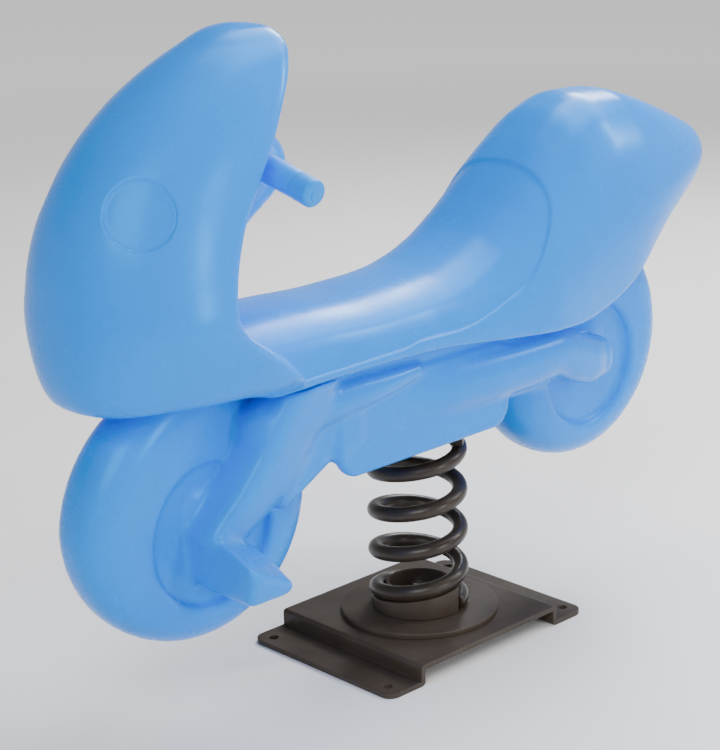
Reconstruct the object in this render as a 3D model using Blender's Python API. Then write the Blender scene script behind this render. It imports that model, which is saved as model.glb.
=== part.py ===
"""Spring rider in the form of a small motorcycle.

Two hollow moulded shells (fairing, seat and tail above; chassis, wheels and
foot pegs below) are bolted through a steel plate onto one large coil spring,
which stands on a hat-section steel base plate.

Units are metres, +Z up. The nose points along -Y, the rider's left is +X, and
the origin lies on the spring's axis at floor level.
"""

import math

import bmesh
import bpy
from mathutils import Matrix, Vector

# ----------------------------------------------------------------------------
# Driving dimensions
# ----------------------------------------------------------------------------
GAP = 0.0003                    # clearance between neighbouring pieces
WALL = 0.006                    # wall of the moulded shells

# coil spring
COIL_R = 0.0495                 # radius of the wire's centre line
WIRE_R = 0.009                  # wire radius
PITCH = 0.0486                  # rise per turn
COIL_Z0 = 0.0411                # centre of the wire where it lies on the disc
COIL_START = 17.0               # angle of the lower wire end, degrees
COIL_END = 1820.0               # angle of the upper wire end, degrees
COIL_LEVEL_LOW = 135.0          # angle where the lower flat stretch gives way
COIL_LEVEL_HIGH = 1702.0        # angle where the upper flat stretch begins
COIL_EASE = 25.0                # half of the angle over which the rise begins
COIL_CUTS = (270.0, 630.0, 990.0, 1350.0)
SPRING_MID_Z = 0.155            # height about which the rider tilts

# base
BASE_T = 0.006
BASE_TOP_Z = 0.025
BASE_HALF_X = 0.115
BASE_TOP_HALF_Y = 0.113
BASE_HALF_Y = 0.162
ANCHOR = (0.095, 0.146)
ANCHOR_R = 0.0055
DISC_R = 0.092
DISC_T = 0.0065

# mounting plate below the body
PLATE_HALF = (0.062, 0.062)
PLATE_Z = 0.2623
PLATE_T = 0.006
BODY_BOLT = (0.050, 0.050)
FRONT_SHELL_BOLT = (0.040, -0.185)
REAR_SHELL_BOLT = (0.036, 0.097)

# wheels
WHEEL_R = 0.144
WHEEL_HALF = 0.042
FRONT_AXLE = (-0.336, 0.2505)
REAR_AXLE = (0.259, 0.300)

# handlebar
BAR_Y = -0.256
BAR_Z = 0.606
BAR_R = 0.011
BAR_BEND = 0.0245               # distance from the middle to the bend
BAR_DROOP = 14.5                # degrees
GRIP_R = 0.015

# fairing: height, nose line, rear line and half width at each station
FAIR_Z = [0.372, 0.376, 0.382, 0.390, 0.400, 0.415, 0.430, 0.450, 0.470,
          0.510, 0.550, 0.590, 0.630, 0.665, 0.696, 0.718, 0.7315, 0.736]
FAIR_NOSE = [-0.436, -0.456, -0.470, -0.478, -0.483, -0.487, -0.489, -0.490,
             -0.490, -0.488, -0.479, -0.461, -0.431, -0.393, -0.347, -0.303,
             -0.273, -0.255]
FAIR_REAR = [-0.2665, -0.2600, -0.257, -0.260, -0.268, -0.284, -0.303, -0.330,
             -0.344, -0.335, -0.320, -0.294, -0.266, -0.243, -0.221, -0.211,
             -0.217, -0.238]
FAIR_HALF = [0.069, 0.089, 0.104, 0.1125, 0.1175, 0.120, 0.121, 0.121, 0.120,
             0.113, 0.107, 0.100, 0.093, 0.083, 0.067, 0.050, 0.031, 0.008]
FAIR_POWER = 2.3
FAIR_DISH = 0.016
FAIR_RIM = 0.020

# seat and tail: crown height, underside (parting line) and half width
SEAT_Y = [-0.400, -0.300, -0.200, -0.120, -0.060, -0.020, 0.020, 0.060, 0.100,
          0.140, 0.180, 0.220, 0.260, 0.300, 0.340, 0.380, 0.420, 0.450,
          0.475, 0.490]
SEAT_CROWN = [0.450, 0.447, 0.444, 0.440, 0.441, 0.444, 0.453, 0.470, 0.498,
              0.532, 0.565, 0.591, 0.602, 0.601, 0.591, 0.576, 0.559, 0.546,
              0.533, 0.517]
SEAT_UNDER = [0.372, 0.372, 0.373, 0.372, 0.370, 0.367, 0.363, 0.359, 0.355,
              0.352, 0.350, 0.355, 0.368, 0.388, 0.417, 0.445, 0.465, 0.477,
              0.486, 0.496]
SEAT_HALF = [0.095, 0.098, 0.098, 0.097, 0.097, 0.099, 0.102, 0.105, 0.107,
             0.109, 0.109, 0.108, 0.106, 0.102, 0.096, 0.088, 0.076, 0.061,
             0.041, 0.019]
SEAT_POWER = 2.6
FAIR_FLOOR = FAIR_Z[0]
PARTING_START = -0.235
STATIONS = [PARTING_START, -0.200, -0.150, -0.100, -0.050, -0.010, 0.030,
            0.070, 0.105, 0.140, 0.175, 0.210, 0.245, 0.280, 0.315, 0.350,
            0.385, 0.420, 0.450, 0.473, 0.490]

# ----------------------------------------------------------------------------
# Clear the scene
# ----------------------------------------------------------------------------
for old in list(bpy.data.objects):
    bpy.data.objects.remove(old, do_unlink=True)
scene_objects = bpy.context.scene.collection.objects


# ----------------------------------------------------------------------------
# Materials
# ----------------------------------------------------------------------------
def make_material(name, colour, roughness, metallic):
    mat = bpy.data.materials.new(name)
    mat.use_nodes = True
    bsdf = mat.node_tree.nodes["Principled BSDF"]
    bsdf.inputs["Base Color"].default_value = (*colour, 1.0)
    bsdf.inputs["Roughness"].default_value = roughness
    bsdf.inputs["Metallic"].default_value = metallic
    mat.diffuse_color = (*colour, 1.0)
    return mat


BLUE = make_material("blue_moulded_plastic", (0.085, 0.42, 0.78), 0.32, 0.0)
GRIP_BLUE = make_material("blue_grip_plastic", (0.085, 0.40, 0.74), 0.40, 0.0)
DARK_STEEL = make_material("brown_coated_steel", (0.050, 0.036, 0.028), 0.42, 0.4)
SPRING_STEEL = make_material("brown_coated_spring", (0.045, 0.033, 0.027), 0.38, 0.4)
ZINC = make_material("zinc_plated_steel", (0.60, 0.60, 0.61), 0.34, 1.0)
BRASS = make_material("brass", (0.70, 0.50, 0.20), 0.35, 1.0)


# ----------------------------------------------------------------------------
# Geometry helpers
# ----------------------------------------------------------------------------
def station_curve(stations, values):
    """Smooth curve through the stations that never overshoots a value."""
    n = len(stations)
    step = [(values[i + 1] - values[i]) / (stations[i + 1] - stations[i])
            for i in range(n - 1)]
    slope = [step[0]] + [0.0] * (n - 2) + [step[-1]]
    for i in range(1, n - 1):
        if step[i - 1] * step[i] > 0.0:
            h0 = stations[i] - stations[i - 1]
            h1 = stations[i + 1] - stations[i]
            w0, w1 = 2.0 * h1 + h0, h1 + 2.0 * h0
            slope[i] = (w0 + w1) / (w0 / step[i - 1] + w1 / step[i])

    def at(t):
        t = min(max(t, stations[0]), stations[-1])
        i = 0
        while i < n - 2 and t > stations[i + 1]:
            i += 1
        h = stations[i + 1] - stations[i]
        u = (t - stations[i]) / h
        return (values[i] * (1 + 2 * u) * (1 - u) ** 2
                + slope[i] * h * u * (1 - u) ** 2
                + values[i + 1] * u * u * (3 - 2 * u)
                + slope[i + 1] * h * u * u * (u - 1))
    return at


fair_nose = station_curve(FAIR_Z, FAIR_NOSE)
fair_rear = station_curve(FAIR_Z, FAIR_REAR)
fair_half = station_curve(FAIR_Z, FAIR_HALF)
seat_crown = station_curve(SEAT_Y, SEAT_CROWN)
seat_under = station_curve(SEAT_Y, SEAT_UNDER)
seat_half = station_curve(SEAT_Y, SEAT_HALF)


def steepness(curve, t, lo, hi):
    a, b = max(lo, t - 0.004), min(hi, t + 0.004)
    return math.sqrt(1.0 + ((curve(b) - curve(a)) / (b - a)) ** 2)


def power(value, exponent):
    return math.copysign(abs(value) ** exponent, value)


def loft(rings):
    """Closed solid through rings of equal point count, flat ends."""
    bm = bmesh.new()
    rows = [[bm.verts.new(p) for p in ring] for ring in rings]
    count = len(rows[0])
    for a, b in zip(rows, rows[1:]):
        for i in range(count):
            j = (i + 1) % count
            bm.faces.new((a[i], a[j], b[j], b[i]))
    bm.faces.new(rows[0])
    bm.faces.new(rows[-1])
    bmesh.ops.recalc_face_normals(bm, faces=bm.faces)
    return bm


def circle(centre, u, v, radius, sides, phase=0.0):
    return [centre + (u * math.cos(a) + v * math.sin(a)) * radius
            for a in (phase + 2.0 * math.pi * k / sides for k in range(sides))]


def turned(profile, sides, origin=(0, 0, 0), axis="Z", phase=0.0):
    """Solid of revolution from (radius, along) pairs that never reach the axis."""
    origin = Vector(origin)
    if axis == "Z":
        u, v, w = Vector((1, 0, 0)), Vector((0, 1, 0)), Vector((0, 0, 1))
    else:
        u, v, w = Vector((0, 1, 0)), Vector((0, 0, 1)), Vector((1, 0, 0))
    return loft([circle(origin + w * along, u, v, radius, sides, phase)
                 for radius, along in profile])


def ring_solid(outer, inner, z0, z1, sides, origin=(0, 0, 0), inner_sides=None,
               phase=0.0):
    """Flat washer or disc with a hole right through."""
    bm = bmesh.new()
    origin = Vector(origin)
    x, y = Vector((1, 0, 0)), Vector((0, 1, 0))
    loops = []
    for radius, z in ((outer, z0), (outer, z1), (inner, z1), (inner, z0)):
        pts = circle(origin + Vector((0, 0, z)), x, y, radius, sides, phase)
        loops.append([bm.verts.new(p) for p in pts])
    for a, b in zip(loops, loops[1:] + loops[:1]):
        for i in range(sides):
            j = (i + 1) % sides
            bm.faces.new((a[i], a[j], b[j], b[i]))
    bmesh.ops.recalc_face_normals(bm, faces=bm.faces)
    return bm


def tube(points, radii, sides, round_start=True, round_end=True, squash=1.0):
    """Round bar along points that keep near the YZ plane, with domed ends;
    squash flattens it sideways."""
    points = [Vector(p) for p in points]
    n = len(points)
    tangents = []
    for i in range(n):
        a, b = points[max(i - 1, 0)], points[min(i + 1, n - 1)]
        tangents.append((b - a).normalized())
    rings = []

    def ring(centre, tangent, radius):
        side = Vector((1, 0, 0)) - tangent * tangent.x
        side.normalize()
        up = side.cross(tangent).normalized()
        rings.append(circle(centre, side * squash, up, radius, sides))

    dome = (0.25, 0.60, 0.86)
    if round_start:
        for k in dome:
            back = math.sqrt(1.0 - k * k)
            ring(points[0] - tangents[0] * radii[0] * back, tangents[0], radii[0] * k)
    for p, t, r in zip(points, tangents, radii):
        ring(p, t, r)
    if round_end:
        for k in reversed(dome):
            out = math.sqrt(1.0 - k * k)
            ring(points[-1] + tangents[-1] * radii[-1] * out, tangents[-1], radii[-1] * k)
    return loft(rings)


def arc_path(a, b, c, count):
    """Points on the parabola that starts at a, passes near b and ends at c."""
    a, b, c = Vector(a), Vector(b), Vector(c)
    mid = b * 2.0 - (a + c) * 0.5
    out = []
    for k in range(count):
        t = k / (count - 1)
        out.append(a * (1 - t) ** 2 + mid * 2 * t * (1 - t) + c * t * t)
    return out


def block(lo, hi, bevel=0.0, segments=2, rotation=None):
    bm = bmesh.new()
    bmesh.ops.create_cube(bm, size=1.0)
    size = [hi[k] - lo[k] for k in range(3)]
    mid = Vector([(hi[k] + lo[k]) / 2 for k in range(3)])
    bmesh.ops.scale(bm, vec=size, verts=bm.verts)
    if bevel > 0.0:
        bmesh.ops.bevel(bm, geom=list(bm.edges), offset=bevel, segments=segments,
                        profile=0.5, affect="EDGES")
    if rotation is not None:
        bmesh.ops.rotate(bm, cent=(0, 0, 0), matrix=rotation, verts=bm.verts)
    bmesh.ops.translate(bm, vec=mid, verts=bm.verts)
    return bm


def mirrored(bm):
    """Copy of a solid on the other side of the middle plane."""
    other = bm.copy()
    bmesh.ops.scale(other, vec=(-1, 1, 1), verts=other.verts)
    bmesh.ops.reverse_faces(other, faces=other.faces)
    return other


def as_object(bm, name):
    mesh = bpy.data.meshes.new(name)
    bm.to_mesh(mesh)
    bm.free()
    obj = bpy.data.objects.new(name, mesh)
    scene_objects.link(obj)
    return obj


def drop(obj):
    mesh = obj.data
    bpy.data.objects.remove(obj, do_unlink=True)
    bpy.data.meshes.remove(mesh)


def combine(target, solids, operation):
    """Boolean of each solid with the target, one after another."""
    for bm in solids:
        tool = bm if isinstance(bm, bpy.types.Object) else as_object(bm, "tool")
        mod = target.modifiers.new("cut", "BOOLEAN")
        mod.operation = operation
        mod.solver = "EXACT"
        mod.object = tool
        bpy.context.view_layer.update()
        graph = bpy.context.evaluated_depsgraph_get()
        result = bpy.data.meshes.new_from_object(target.evaluated_get(graph))
        target.modifiers.clear()
        old = target.data
        target.data = result
        bpy.data.meshes.remove(old)
        drop(tool)
    return target


def tidy(obj, distance=0.00002, flat=0.3):
    """Weld the seams that the Booleans leave and join faces that are flat."""
    bm = bmesh.new()
    bm.from_mesh(obj.data)
    bmesh.ops.remove_doubles(bm, verts=bm.verts, dist=distance)
    bmesh.ops.dissolve_degenerate(bm, edges=bm.edges, dist=distance)
    bmesh.ops.dissolve_limit(bm, angle_limit=math.radians(flat),
                             verts=bm.verts, edges=bm.edges)
    bmesh.ops.triangulate(bm, faces=bm.faces)
    bmesh.ops.dissolve_degenerate(bm, edges=bm.edges, dist=distance)
    bm.to_mesh(obj.data)
    bm.free()


def finish(obj, name, material, origin=(0, 0, 0), parent=None, sharp=32.0):
    """Name the piece, give it its material and put its origin in place."""
    obj.name = name
    obj.data.name = name
    obj.data.materials.clear()
    obj.data.materials.append(material)
    origin = Vector(origin)
    obj.data.transform(Matrix.Translation(-origin))
    obj.location = origin
    if parent is not None:
        obj.parent = parent
        obj.location = origin - parent.location
    obj.data.shade_smooth()
    obj.data.set_sharp_from_angle(angle=math.radians(sharp))
    return obj


def piece(bm, name, material, origin=(0, 0, 0), parent=None, sharp=32.0):
    return finish(as_object(bm, name), name, material, origin, parent, sharp)


def empty(name, location, parent=None):
    obj = bpy.data.objects.new(name, None)
    scene_objects.link(obj)
    obj.empty_display_size = 0.03
    obj.location = Vector(location)
    if parent is not None:
        obj.parent = parent
        obj.location = Vector(location) - parent.matrix_world.translation
    return obj


stand = empty("stand_frame", (0, 0, 0))
rider = empty("rider_frame", (0, 0, SPRING_MID_Z))
bpy.context.view_layer.update()


# ----------------------------------------------------------------------------
# Base plate: hat section with flanges front and rear
# ----------------------------------------------------------------------------
def base_plate():
    t, top = BASE_T, BASE_TOP_Z
    outline = [(-BASE_HALF_Y, 0.0), (-BASE_TOP_HALF_Y + t, 0.0),
               (-BASE_TOP_HALF_Y + t, top - t), (BASE_TOP_HALF_Y - t, top - t),
               (BASE_TOP_HALF_Y - t, 0.0), (BASE_HALF_Y, 0.0), (BASE_HALF_Y, t),
               (BASE_TOP_HALF_Y, t), (BASE_TOP_HALF_Y, top),
               (-BASE_TOP_HALF_Y, top), (-BASE_TOP_HALF_Y, t), (-BASE_HALF_Y, t)]
    plate = as_object(loft([[Vector((x, y, z)) for y, z in outline]
                            for x in (-BASE_HALF_X, BASE_HALF_X)]), "base_plate")
    cutters = []
    for sx in (-1, 1):
        for sy in (-1, 1):
            cutters.append(turned([(ANCHOR_R, -0.01), (ANCHOR_R, 0.02)], 16,
                                  (sx * ANCHOR[0], sy * ANCHOR[1], 0)))
            # rounded flange corner: a wedge taken off in three short cuts
            for turn, reach in ((22.5, 0.0105), (45.0, 0.0075), (67.5, 0.0105)):
                a = math.radians(turn)
                normal = Vector((sx * math.cos(a), sy * math.sin(a), 0))
                corner = Vector((sx * BASE_HALF_X, sy * BASE_HALF_Y, 0.003))
                depth = {22.5: 0.0045, 45.0: 0.0059, 67.5: 0.0045}[turn]
                centre = corner - normal * depth + normal * 0.02
                wedge = block((-0.02, -0.03, -0.01), (0.02, 0.03, 0.01),
                              rotation=Matrix.Rotation(
                                  math.atan2(normal.y, normal.x), 3, "Z"))
                bmesh.ops.translate(wedge, vec=centre, verts=wedge.verts)
                cutters.append(wedge)
            x, y = sx * 0.017, sy * 0.017
            cutters.append(turned([(0.0055, 0.01), (0.0055, 0.04)], 12, (x, y, 0)))
    combine(plate, cutters, "DIFFERENCE")
    tidy(plate)
    return finish(plate, "base_plate", DARK_STEEL, parent=stand)


base_plate()

DISC_Z = BASE_TOP_Z + GAP
disc = as_object(turned([(DISC_R, DISC_Z), (DISC_R, DISC_Z + DISC_T - 0.0015),
                         (DISC_R - 0.0015, DISC_Z + DISC_T)], 48), "disc")
combine(disc, [turned([(0.0055, 0.02), (0.0055, 0.04)], 12, (sx * 0.017, sy * 0.017, 0))
               for sx in (-1, 1) for sy in (-1, 1)], "DIFFERENCE")
tidy(disc)
finish(disc, "spring_seat_disc", DARK_STEEL, parent=stand)

SEAT_PLANE = DISC_Z + DISC_T + GAP      # underside of the wire, the ramp and the cup


# ----------------------------------------------------------------------------
# Coil spring: one wire, divided where the flexing parts of the model meet
# ----------------------------------------------------------------------------
def coil_height(angle):
    rise = PITCH / 360.0
    low, high, e = COIL_LEVEL_LOW, COIL_LEVEL_HIGH, COIL_EASE

    def eased(a):                       # 0 below -e, a above +e
        if a <= -e:
            return 0.0
        if a >= e:
            return a
        return (a + e) ** 2 / (4.0 * e)
    return COIL_Z0 + rise * (eased(angle - low) - eased(angle - high))


def coil_point(angle):
    a = math.radians(angle)
    return Vector((COIL_R * math.cos(a), COIL_R * math.sin(a), coil_height(angle)))


def coil_piece(start, end, sides=8, step=18.0):
    count = max(3, int(round((end - start) / step)) + 1)
    rings = []
    for k in range(count):
        angle = start + (end - start) * k / (count - 1)
        d = (coil_point(angle + 0.5) - coil_point(angle - 0.5)).normalized()
        a = math.radians(angle)
        radial = Vector((math.cos(a), math.sin(a), 0.0))
        up = radial.cross(d).normalized()
        if up.z < 0:
            up = -up
        rings.append(circle(coil_point(angle), radial, up, WIRE_R, sides))
    return loft(rings)


half_gap = math.degrees(GAP / 2.0 / COIL_R)
edges = (COIL_START,) + COIL_CUTS + (COIL_END,)
names = ("spring_lower_end", "spring_turn_1", "spring_turn_2", "spring_turn_3",
         "spring_upper_end")
for k, name in enumerate(names):
    a0 = edges[k] + (half_gap if k else 0.0)
    a1 = edges[k + 1] - (half_gap if k < 4 else 0.0)
    origin = (0, 0, 0) if k == 0 else (0, 0, SPRING_MID_Z)
    piece(coil_piece(a0, a1), name, SPRING_STEEL, origin,
          stand if k == 0 else rider, sharp=50.0)


def ramp(start, end, under):
    """Curved wedge that fills the space between a flat seat and the wire."""
    rings = []
    count = 16
    for k in range(count):
        angle = start + (end - start) * k / (count - 1)
        a = math.radians(angle)
        if under:
            z0, z1 = SEAT_PLANE, coil_height(angle) - WIRE_R - 0.0005
        else:
            z0, z1 = coil_height(angle) + WIRE_R + 0.0005, PLATE_Z - GAP
        rings.append([Vector((r * math.cos(a), r * math.sin(a), z))
                      for r, z in ((0.041, z0), (0.0555, z0), (0.0555, z1), (0.041, z1))])
    return loft(rings)


piece(ramp(160.0, 370.0, True), "lower_spring_seat", DARK_STEEL, parent=stand)
piece(ramp(COIL_END - 353.0, COIL_LEVEL_HIGH - 25.0, False), "upper_spring_seat",
      DARK_STEEL, (0, 0, PLATE_Z), parent=rider)


# ----------------------------------------------------------------------------
# Spring cups and the base fasteners
# ----------------------------------------------------------------------------
CUP_R, CUP_WALL, CUP_FLOOR = 0.0385, 0.004, 0.005


def cup(z_floor, z_rim):
    up = 1.0 if z_rim > z_floor else -1.0
    profile_out = [(CUP_R, z_floor), (CUP_R, z_rim)]
    body = as_object(turned(profile_out, 36), "cup")
    combine(body, [turned([(CUP_R - CUP_WALL, z_floor + up * CUP_FLOOR),
                           (CUP_R - CUP_WALL, z_rim + up * 0.01)], 36)], "DIFFERENCE")
    return body


low_cup = cup(SEAT_PLANE, 0.060)
combine(low_cup, [turned([(0.0055, 0.02), (0.0055, 0.05)], 12, (sx * 0.017, sy * 0.017, 0))
                  for sx in (-1, 1) for sy in (-1, 1)], "DIFFERENCE")
tidy(low_cup)
finish(low_cup, "lower_spring_cup", DARK_STEEL, parent=stand)
high_cup = cup(PLATE_Z - GAP, 0.236)
tidy(high_cup)
finish(high_cup, "upper_spring_cup", DARK_STEEL, (0, 0, PLATE_Z), parent=rider)


def bolt(head_af, head_z0, head_z1, shank_r, tip_z, sides=12):
    """Hexagon bolt along Z about the origin; the shank leaves the head upwards
    or downwards, to tip_z."""
    corner = head_af / 2.0 / math.cos(math.pi / 6.0)
    chamfer = 0.0008
    if tip_z > head_z1:
        rings = [(corner - chamfer, head_z0, 6), (corner, head_z0 + chamfer, 6),
                 (corner, head_z1, 6)]
        seat_z = head_z1
    else:
        rings = [(corner - chamfer, head_z1, 6), (corner, head_z1 - chamfer, 6),
                 (corner, head_z0, 6)]
        seat_z = head_z0
    bm = bmesh.new()
    x, y = Vector((1, 0, 0)), Vector((0, 1, 0))
    rows = []
    for radius, z, n in rings:
        # twelve points on the hexagon: its corners and the middles of its flats
        pts = []
        for k in range(12):
            r = radius if k % 2 == 0 else radius * math.cos(math.pi / 6.0)
            a = math.pi * k / 6.0
            pts.append(Vector((r * math.cos(a), r * math.sin(a), z)))
        rows.append([bm.verts.new(p) for p in pts])
    tip = 0.001 if tip_z > seat_z else -0.001
    for radius, z in ((shank_r, seat_z), (shank_r, tip_z - tip), (shank_r - 0.001, tip_z)):
        rows.append([bm.verts.new(p) for p in circle(Vector((0, 0, z)), x, y, radius, 12)])
    for a, b in zip(rows, rows[1:]):
        for i in range(12):
            j = (i + 1) % 12
            bm.faces.new((a[i], a[j], b[j], b[i]))
    bm.faces.new(rows[0])
    bm.faces.new(rows[-1])
    bmesh.ops.recalc_face_normals(bm, faces=bm.faces)
    return bm


def nut(af, bore, z0, z1):
    bm = bmesh.new()
    rows = []
    corner = af / 2.0 / math.cos(math.pi / 6.0)
    for outer, z in ((True, z0), (True, z1), (False, z1), (False, z0)):
        pts = []
        for k in range(12):
            a = math.pi * k / 6.0
            if outer:
                r = corner if k % 2 == 0 else corner * math.cos(math.pi / 6.0)
            else:
                r = bore
            pts.append(Vector((r * math.cos(a), r * math.sin(a), z)))
        rows.append([bm.verts.new(p) for p in pts])
    for a, b in zip(rows, rows[1:] + rows[:1]):
        for i in range(12):
            j = (i + 1) % 12
            bm.faces.new((a[i], a[j], b[j], b[i]))
    bmesh.ops.recalc_face_normals(bm, faces=bm.faces)
    return bm


def moved(bm, x, y, z=0.0):
    bmesh.ops.translate(bm, vec=(x, y, z), verts=bm.verts)
    return bm


def hexagon(corner, z0, z1, x, y):
    """Hexagonal prism with its corners where those of bolts and inserts are."""
    return turned([(corner, z0), (corner, z1)], 6, (x, y, 0))


CORNERS = ((-1, -1), (1, -1), (1, 1), (-1, 1))
cup_floor_top = SEAT_PLANE + CUP_FLOOR
for k, (sx, sy) in enumerate(CORNERS, start=1):
    x, y = sx * 0.017, sy * 0.017
    z = cup_floor_top + GAP
    piece(moved(ring_solid(0.0098, 0.0056, z, z + 0.002, 12), x, y),
          "base_washer_%d" % k, ZINC, (x, y, z), stand)
    piece(moved(bolt(0.017, z + 0.002 + GAP, z + 0.0087 + GAP, 0.005, 0.0085), x, y),
          "base_bolt_%d" % k, ZINC, (x, y, z), stand)
    piece(moved(nut(0.017, 0.0053, 0.0107, BASE_TOP_Z - BASE_T - GAP), x, y),
          "base_nut_%d" % k, ZINC, (x, y, 0.0107), stand)


# ----------------------------------------------------------------------------
# Mounting plate below the body and its fasteners
# ----------------------------------------------------------------------------
plate = as_object(block((-PLATE_HALF[0], -PLATE_HALF[1], PLATE_Z),
                        (PLATE_HALF[0], PLATE_HALF[1], PLATE_Z + PLATE_T)), "plate")
combine(plate, [turned([(0.0055, 0.25), (0.0055, 0.28)], 12,
                       (sx * BODY_BOLT[0], sy * BODY_BOLT[1], 0))
                for sx, sy in CORNERS], "DIFFERENCE")
tidy(plate)
finish(plate, "body_mounting_plate", DARK_STEEL, (0, 0, PLATE_Z), parent=rider)

for k, (sx, sy) in enumerate(CORNERS, start=1):
    x, y = sx * BODY_BOLT[0], sy * BODY_BOLT[1]
    z = PLATE_Z - GAP
    piece(moved(ring_solid(0.010, 0.0056, z - 0.002, z, 12), x, y),
          "body_washer_%d" % k, ZINC, (x, y, z), rider)
    piece(moved(bolt(0.017, z - 0.0087 - GAP, z - 0.002 - GAP, 0.005, 0.390), x, y),
          "body_bolt_%d" % k, ZINC, (x, y, z), rider)


def insert(corner, bore, z0, z1, roof):
    """Blind threaded insert, open at its lower end; six flats keep it from
    turning in the plastic."""
    bm = bmesh.new()
    rows = []
    for outer, z in ((True, z1), (True, z0), (False, z0), (False, z1 - roof)):
        pts = []
        for k in range(12):
            a = math.pi * k / 6.0
            r = bore
            if outer:
                r = corner if k % 2 == 0 else corner * math.cos(math.pi / 6.0)
            pts.append(Vector((r * math.cos(a), r * math.sin(a), z)))
        rows.append([bm.verts.new(p) for p in pts])
    for a, b in zip(rows, rows[1:]):
        for i in range(12):
            j = (i + 1) % 12
            bm.faces.new((a[i], a[j], b[j], b[i]))
    bm.faces.new(rows[0])
    bm.faces.new(rows[-1])
    bmesh.ops.recalc_face_normals(bm, faces=bm.faces)
    return bm


INSERT_Z = (0.3745, 0.3950)
SHELL_BOLTS = (
    # (x, y, head top, bolt tip, insert bottom, insert top)
    (-FRONT_SHELL_BOLT[0], FRONT_SHELL_BOLT[1], 0.2932, 0.3960, 0.3785, 0.3990),
    (FRONT_SHELL_BOLT[0], FRONT_SHELL_BOLT[1], 0.2932, 0.3960, 0.3785, 0.3990),
    (REAR_SHELL_BOLT[0], REAR_SHELL_BOLT[1], 0.2777, 0.3770, 0.3600, 0.3800),
    (-REAR_SHELL_BOLT[0], REAR_SHELL_BOLT[1], 0.2777, 0.3770, 0.3600, 0.3800),
)
for k, (sx, sy) in enumerate(CORNERS, start=1):
    x, y = sx * BODY_BOLT[0], sy * BODY_BOLT[1]
    piece(moved(insert(0.009, 0.0053, INSERT_Z[0], INSERT_Z[1], 0.0025), x, y),
          "body_insert_%d" % k, BRASS, (x, y, INSERT_Z[0]), rider)
for k, (x, y, head, tip, low, high) in enumerate(SHELL_BOLTS, start=1):
    piece(moved(bolt(0.013, head - 0.0053, head, 0.004, tip), x, y),
          "shell_bolt_%d" % k, ZINC, (x, y, head), rider)
    piece(moved(insert(0.0075, 0.0043, low, high, 0.0022), x, y),
          "shell_insert_%d" % k, BRASS, (x, y, low), rider)


# ----------------------------------------------------------------------------
# Handlebar: one bent tube, two grips, two end caps
# ----------------------------------------------------------------------------
def bar_point(x):
    """Centre line of the bar: level in the middle, drooping to both ends."""
    drop_rate = math.tan(math.radians(BAR_DROOP))
    ease = 0.010
    a = abs(x) - BAR_BEND
    if a <= -ease:
        fall = 0.0
    elif a >= ease:
        fall = a
    else:
        fall = (a + ease) ** 2 / (4.0 * ease)
    return Vector((x, BAR_Y, BAR_Z - drop_rate * fall))


def bar_solid(xs, radius, sides):
    rings = []
    for x in xs:
        d = (bar_point(x + 0.0005) - bar_point(x - 0.0005)).normalized()
        u = Vector((0, 1, 0))
        rings.append(circle(bar_point(x), u, u.cross(d).normalized(), radius, sides))
    return loft(rings)


BAR_END = 0.1215
bend_xs = [0.0145, 0.019, 0.0245, 0.030, 0.0345]
bar_xs = [-BAR_END] + [-x for x in reversed(bend_xs)] + [0.0] + bend_xs + [BAR_END]
piece(bar_solid(bar_xs, BAR_R, 16), "handlebar_tube", ZINC,
      (0, BAR_Y, BAR_Z), parent=rider)


def sleeve(x0, x1, outer, inner, bore_x1=None, chamfer=0.0015):
    """Tube about the bar's drooping end; bore_x1 leaves the far end closed."""
    rings = []
    d = (bar_point(0.12) - bar_point(0.10)).normalized()
    u = Vector((0, 1, 0))
    v = u.cross(d).normalized()
    outline = [(x0, outer - chamfer), (x0 + chamfer, outer), (x1 - chamfer, outer),
               (x1, outer - chamfer)]
    body = as_object(loft([circle(bar_point(x), u, v, r, 18) for x, r in outline]), "sleeve")
    end = x1 + 0.02 if bore_x1 is None else bore_x1
    combine(body, [loft([circle(bar_point(x), u, v, inner, 16)
                         for x in (x0 - 0.006, end)])], "DIFFERENCE")
    return body


for side, name in ((1, "left"), (-1, "right")):
    grip = sleeve(0.046, 0.103, GRIP_R, BAR_R + GAP)
    cap = sleeve(0.1033, 0.1272, GRIP_R, BAR_R + GAP, bore_x1=0.1219, chamfer=0.002)
    for obj, label in ((grip, "_grip"), (cap, "_grip_cap")):
        tidy(obj)
        if side < 0:
            obj.data.transform(Matrix.Scale(-1, 4, Vector((1, 0, 0))))
            obj.data.flip_normals()
        origin = bar_point(side * (0.0745 if label == "_grip" else 0.115))
        finish(obj, name + label, GRIP_BLUE, origin, rider)


# ----------------------------------------------------------------------------
# Upper shell: fairing, seat, tail and handlebar boss, hollow
# ----------------------------------------------------------------------------
def fairing_ring(z, inset=0.0):
    lo, hi = FAIR_Z[0], FAIR_Z[-1]
    half = fair_half(z) - inset * min(2.5, steepness(fair_half, z, lo, hi))
    nose = fair_nose(z) + inset * min(2.8, steepness(fair_nose, z, lo, hi))
    rear = fair_rear(z) - inset * min(2.0, steepness(fair_rear, z, lo, hi))
    size = min(1.0, (rear - nose) / 0.10)
    dish, rim = FAIR_DISH * size, FAIR_RIM * size
    side = rear - rim
    pts = []
    n = 16
    for k in range(n + 1):
        a = math.pi * k / n
        c, s = math.cos(a), math.sin(a)
        pts.append(Vector((half * power(c, 2.0 / FAIR_POWER),
                           side - (side - nose) * power(s, 2.0 / FAIR_POWER), z)))
    for u in (-0.94, -0.78, -0.42, 0.0, 0.42, 0.78, 0.94):
        pts.append(Vector((half * u, rear - dish * (1 - u * u) - rim * u ** 8, z)))
    return pts


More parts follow.
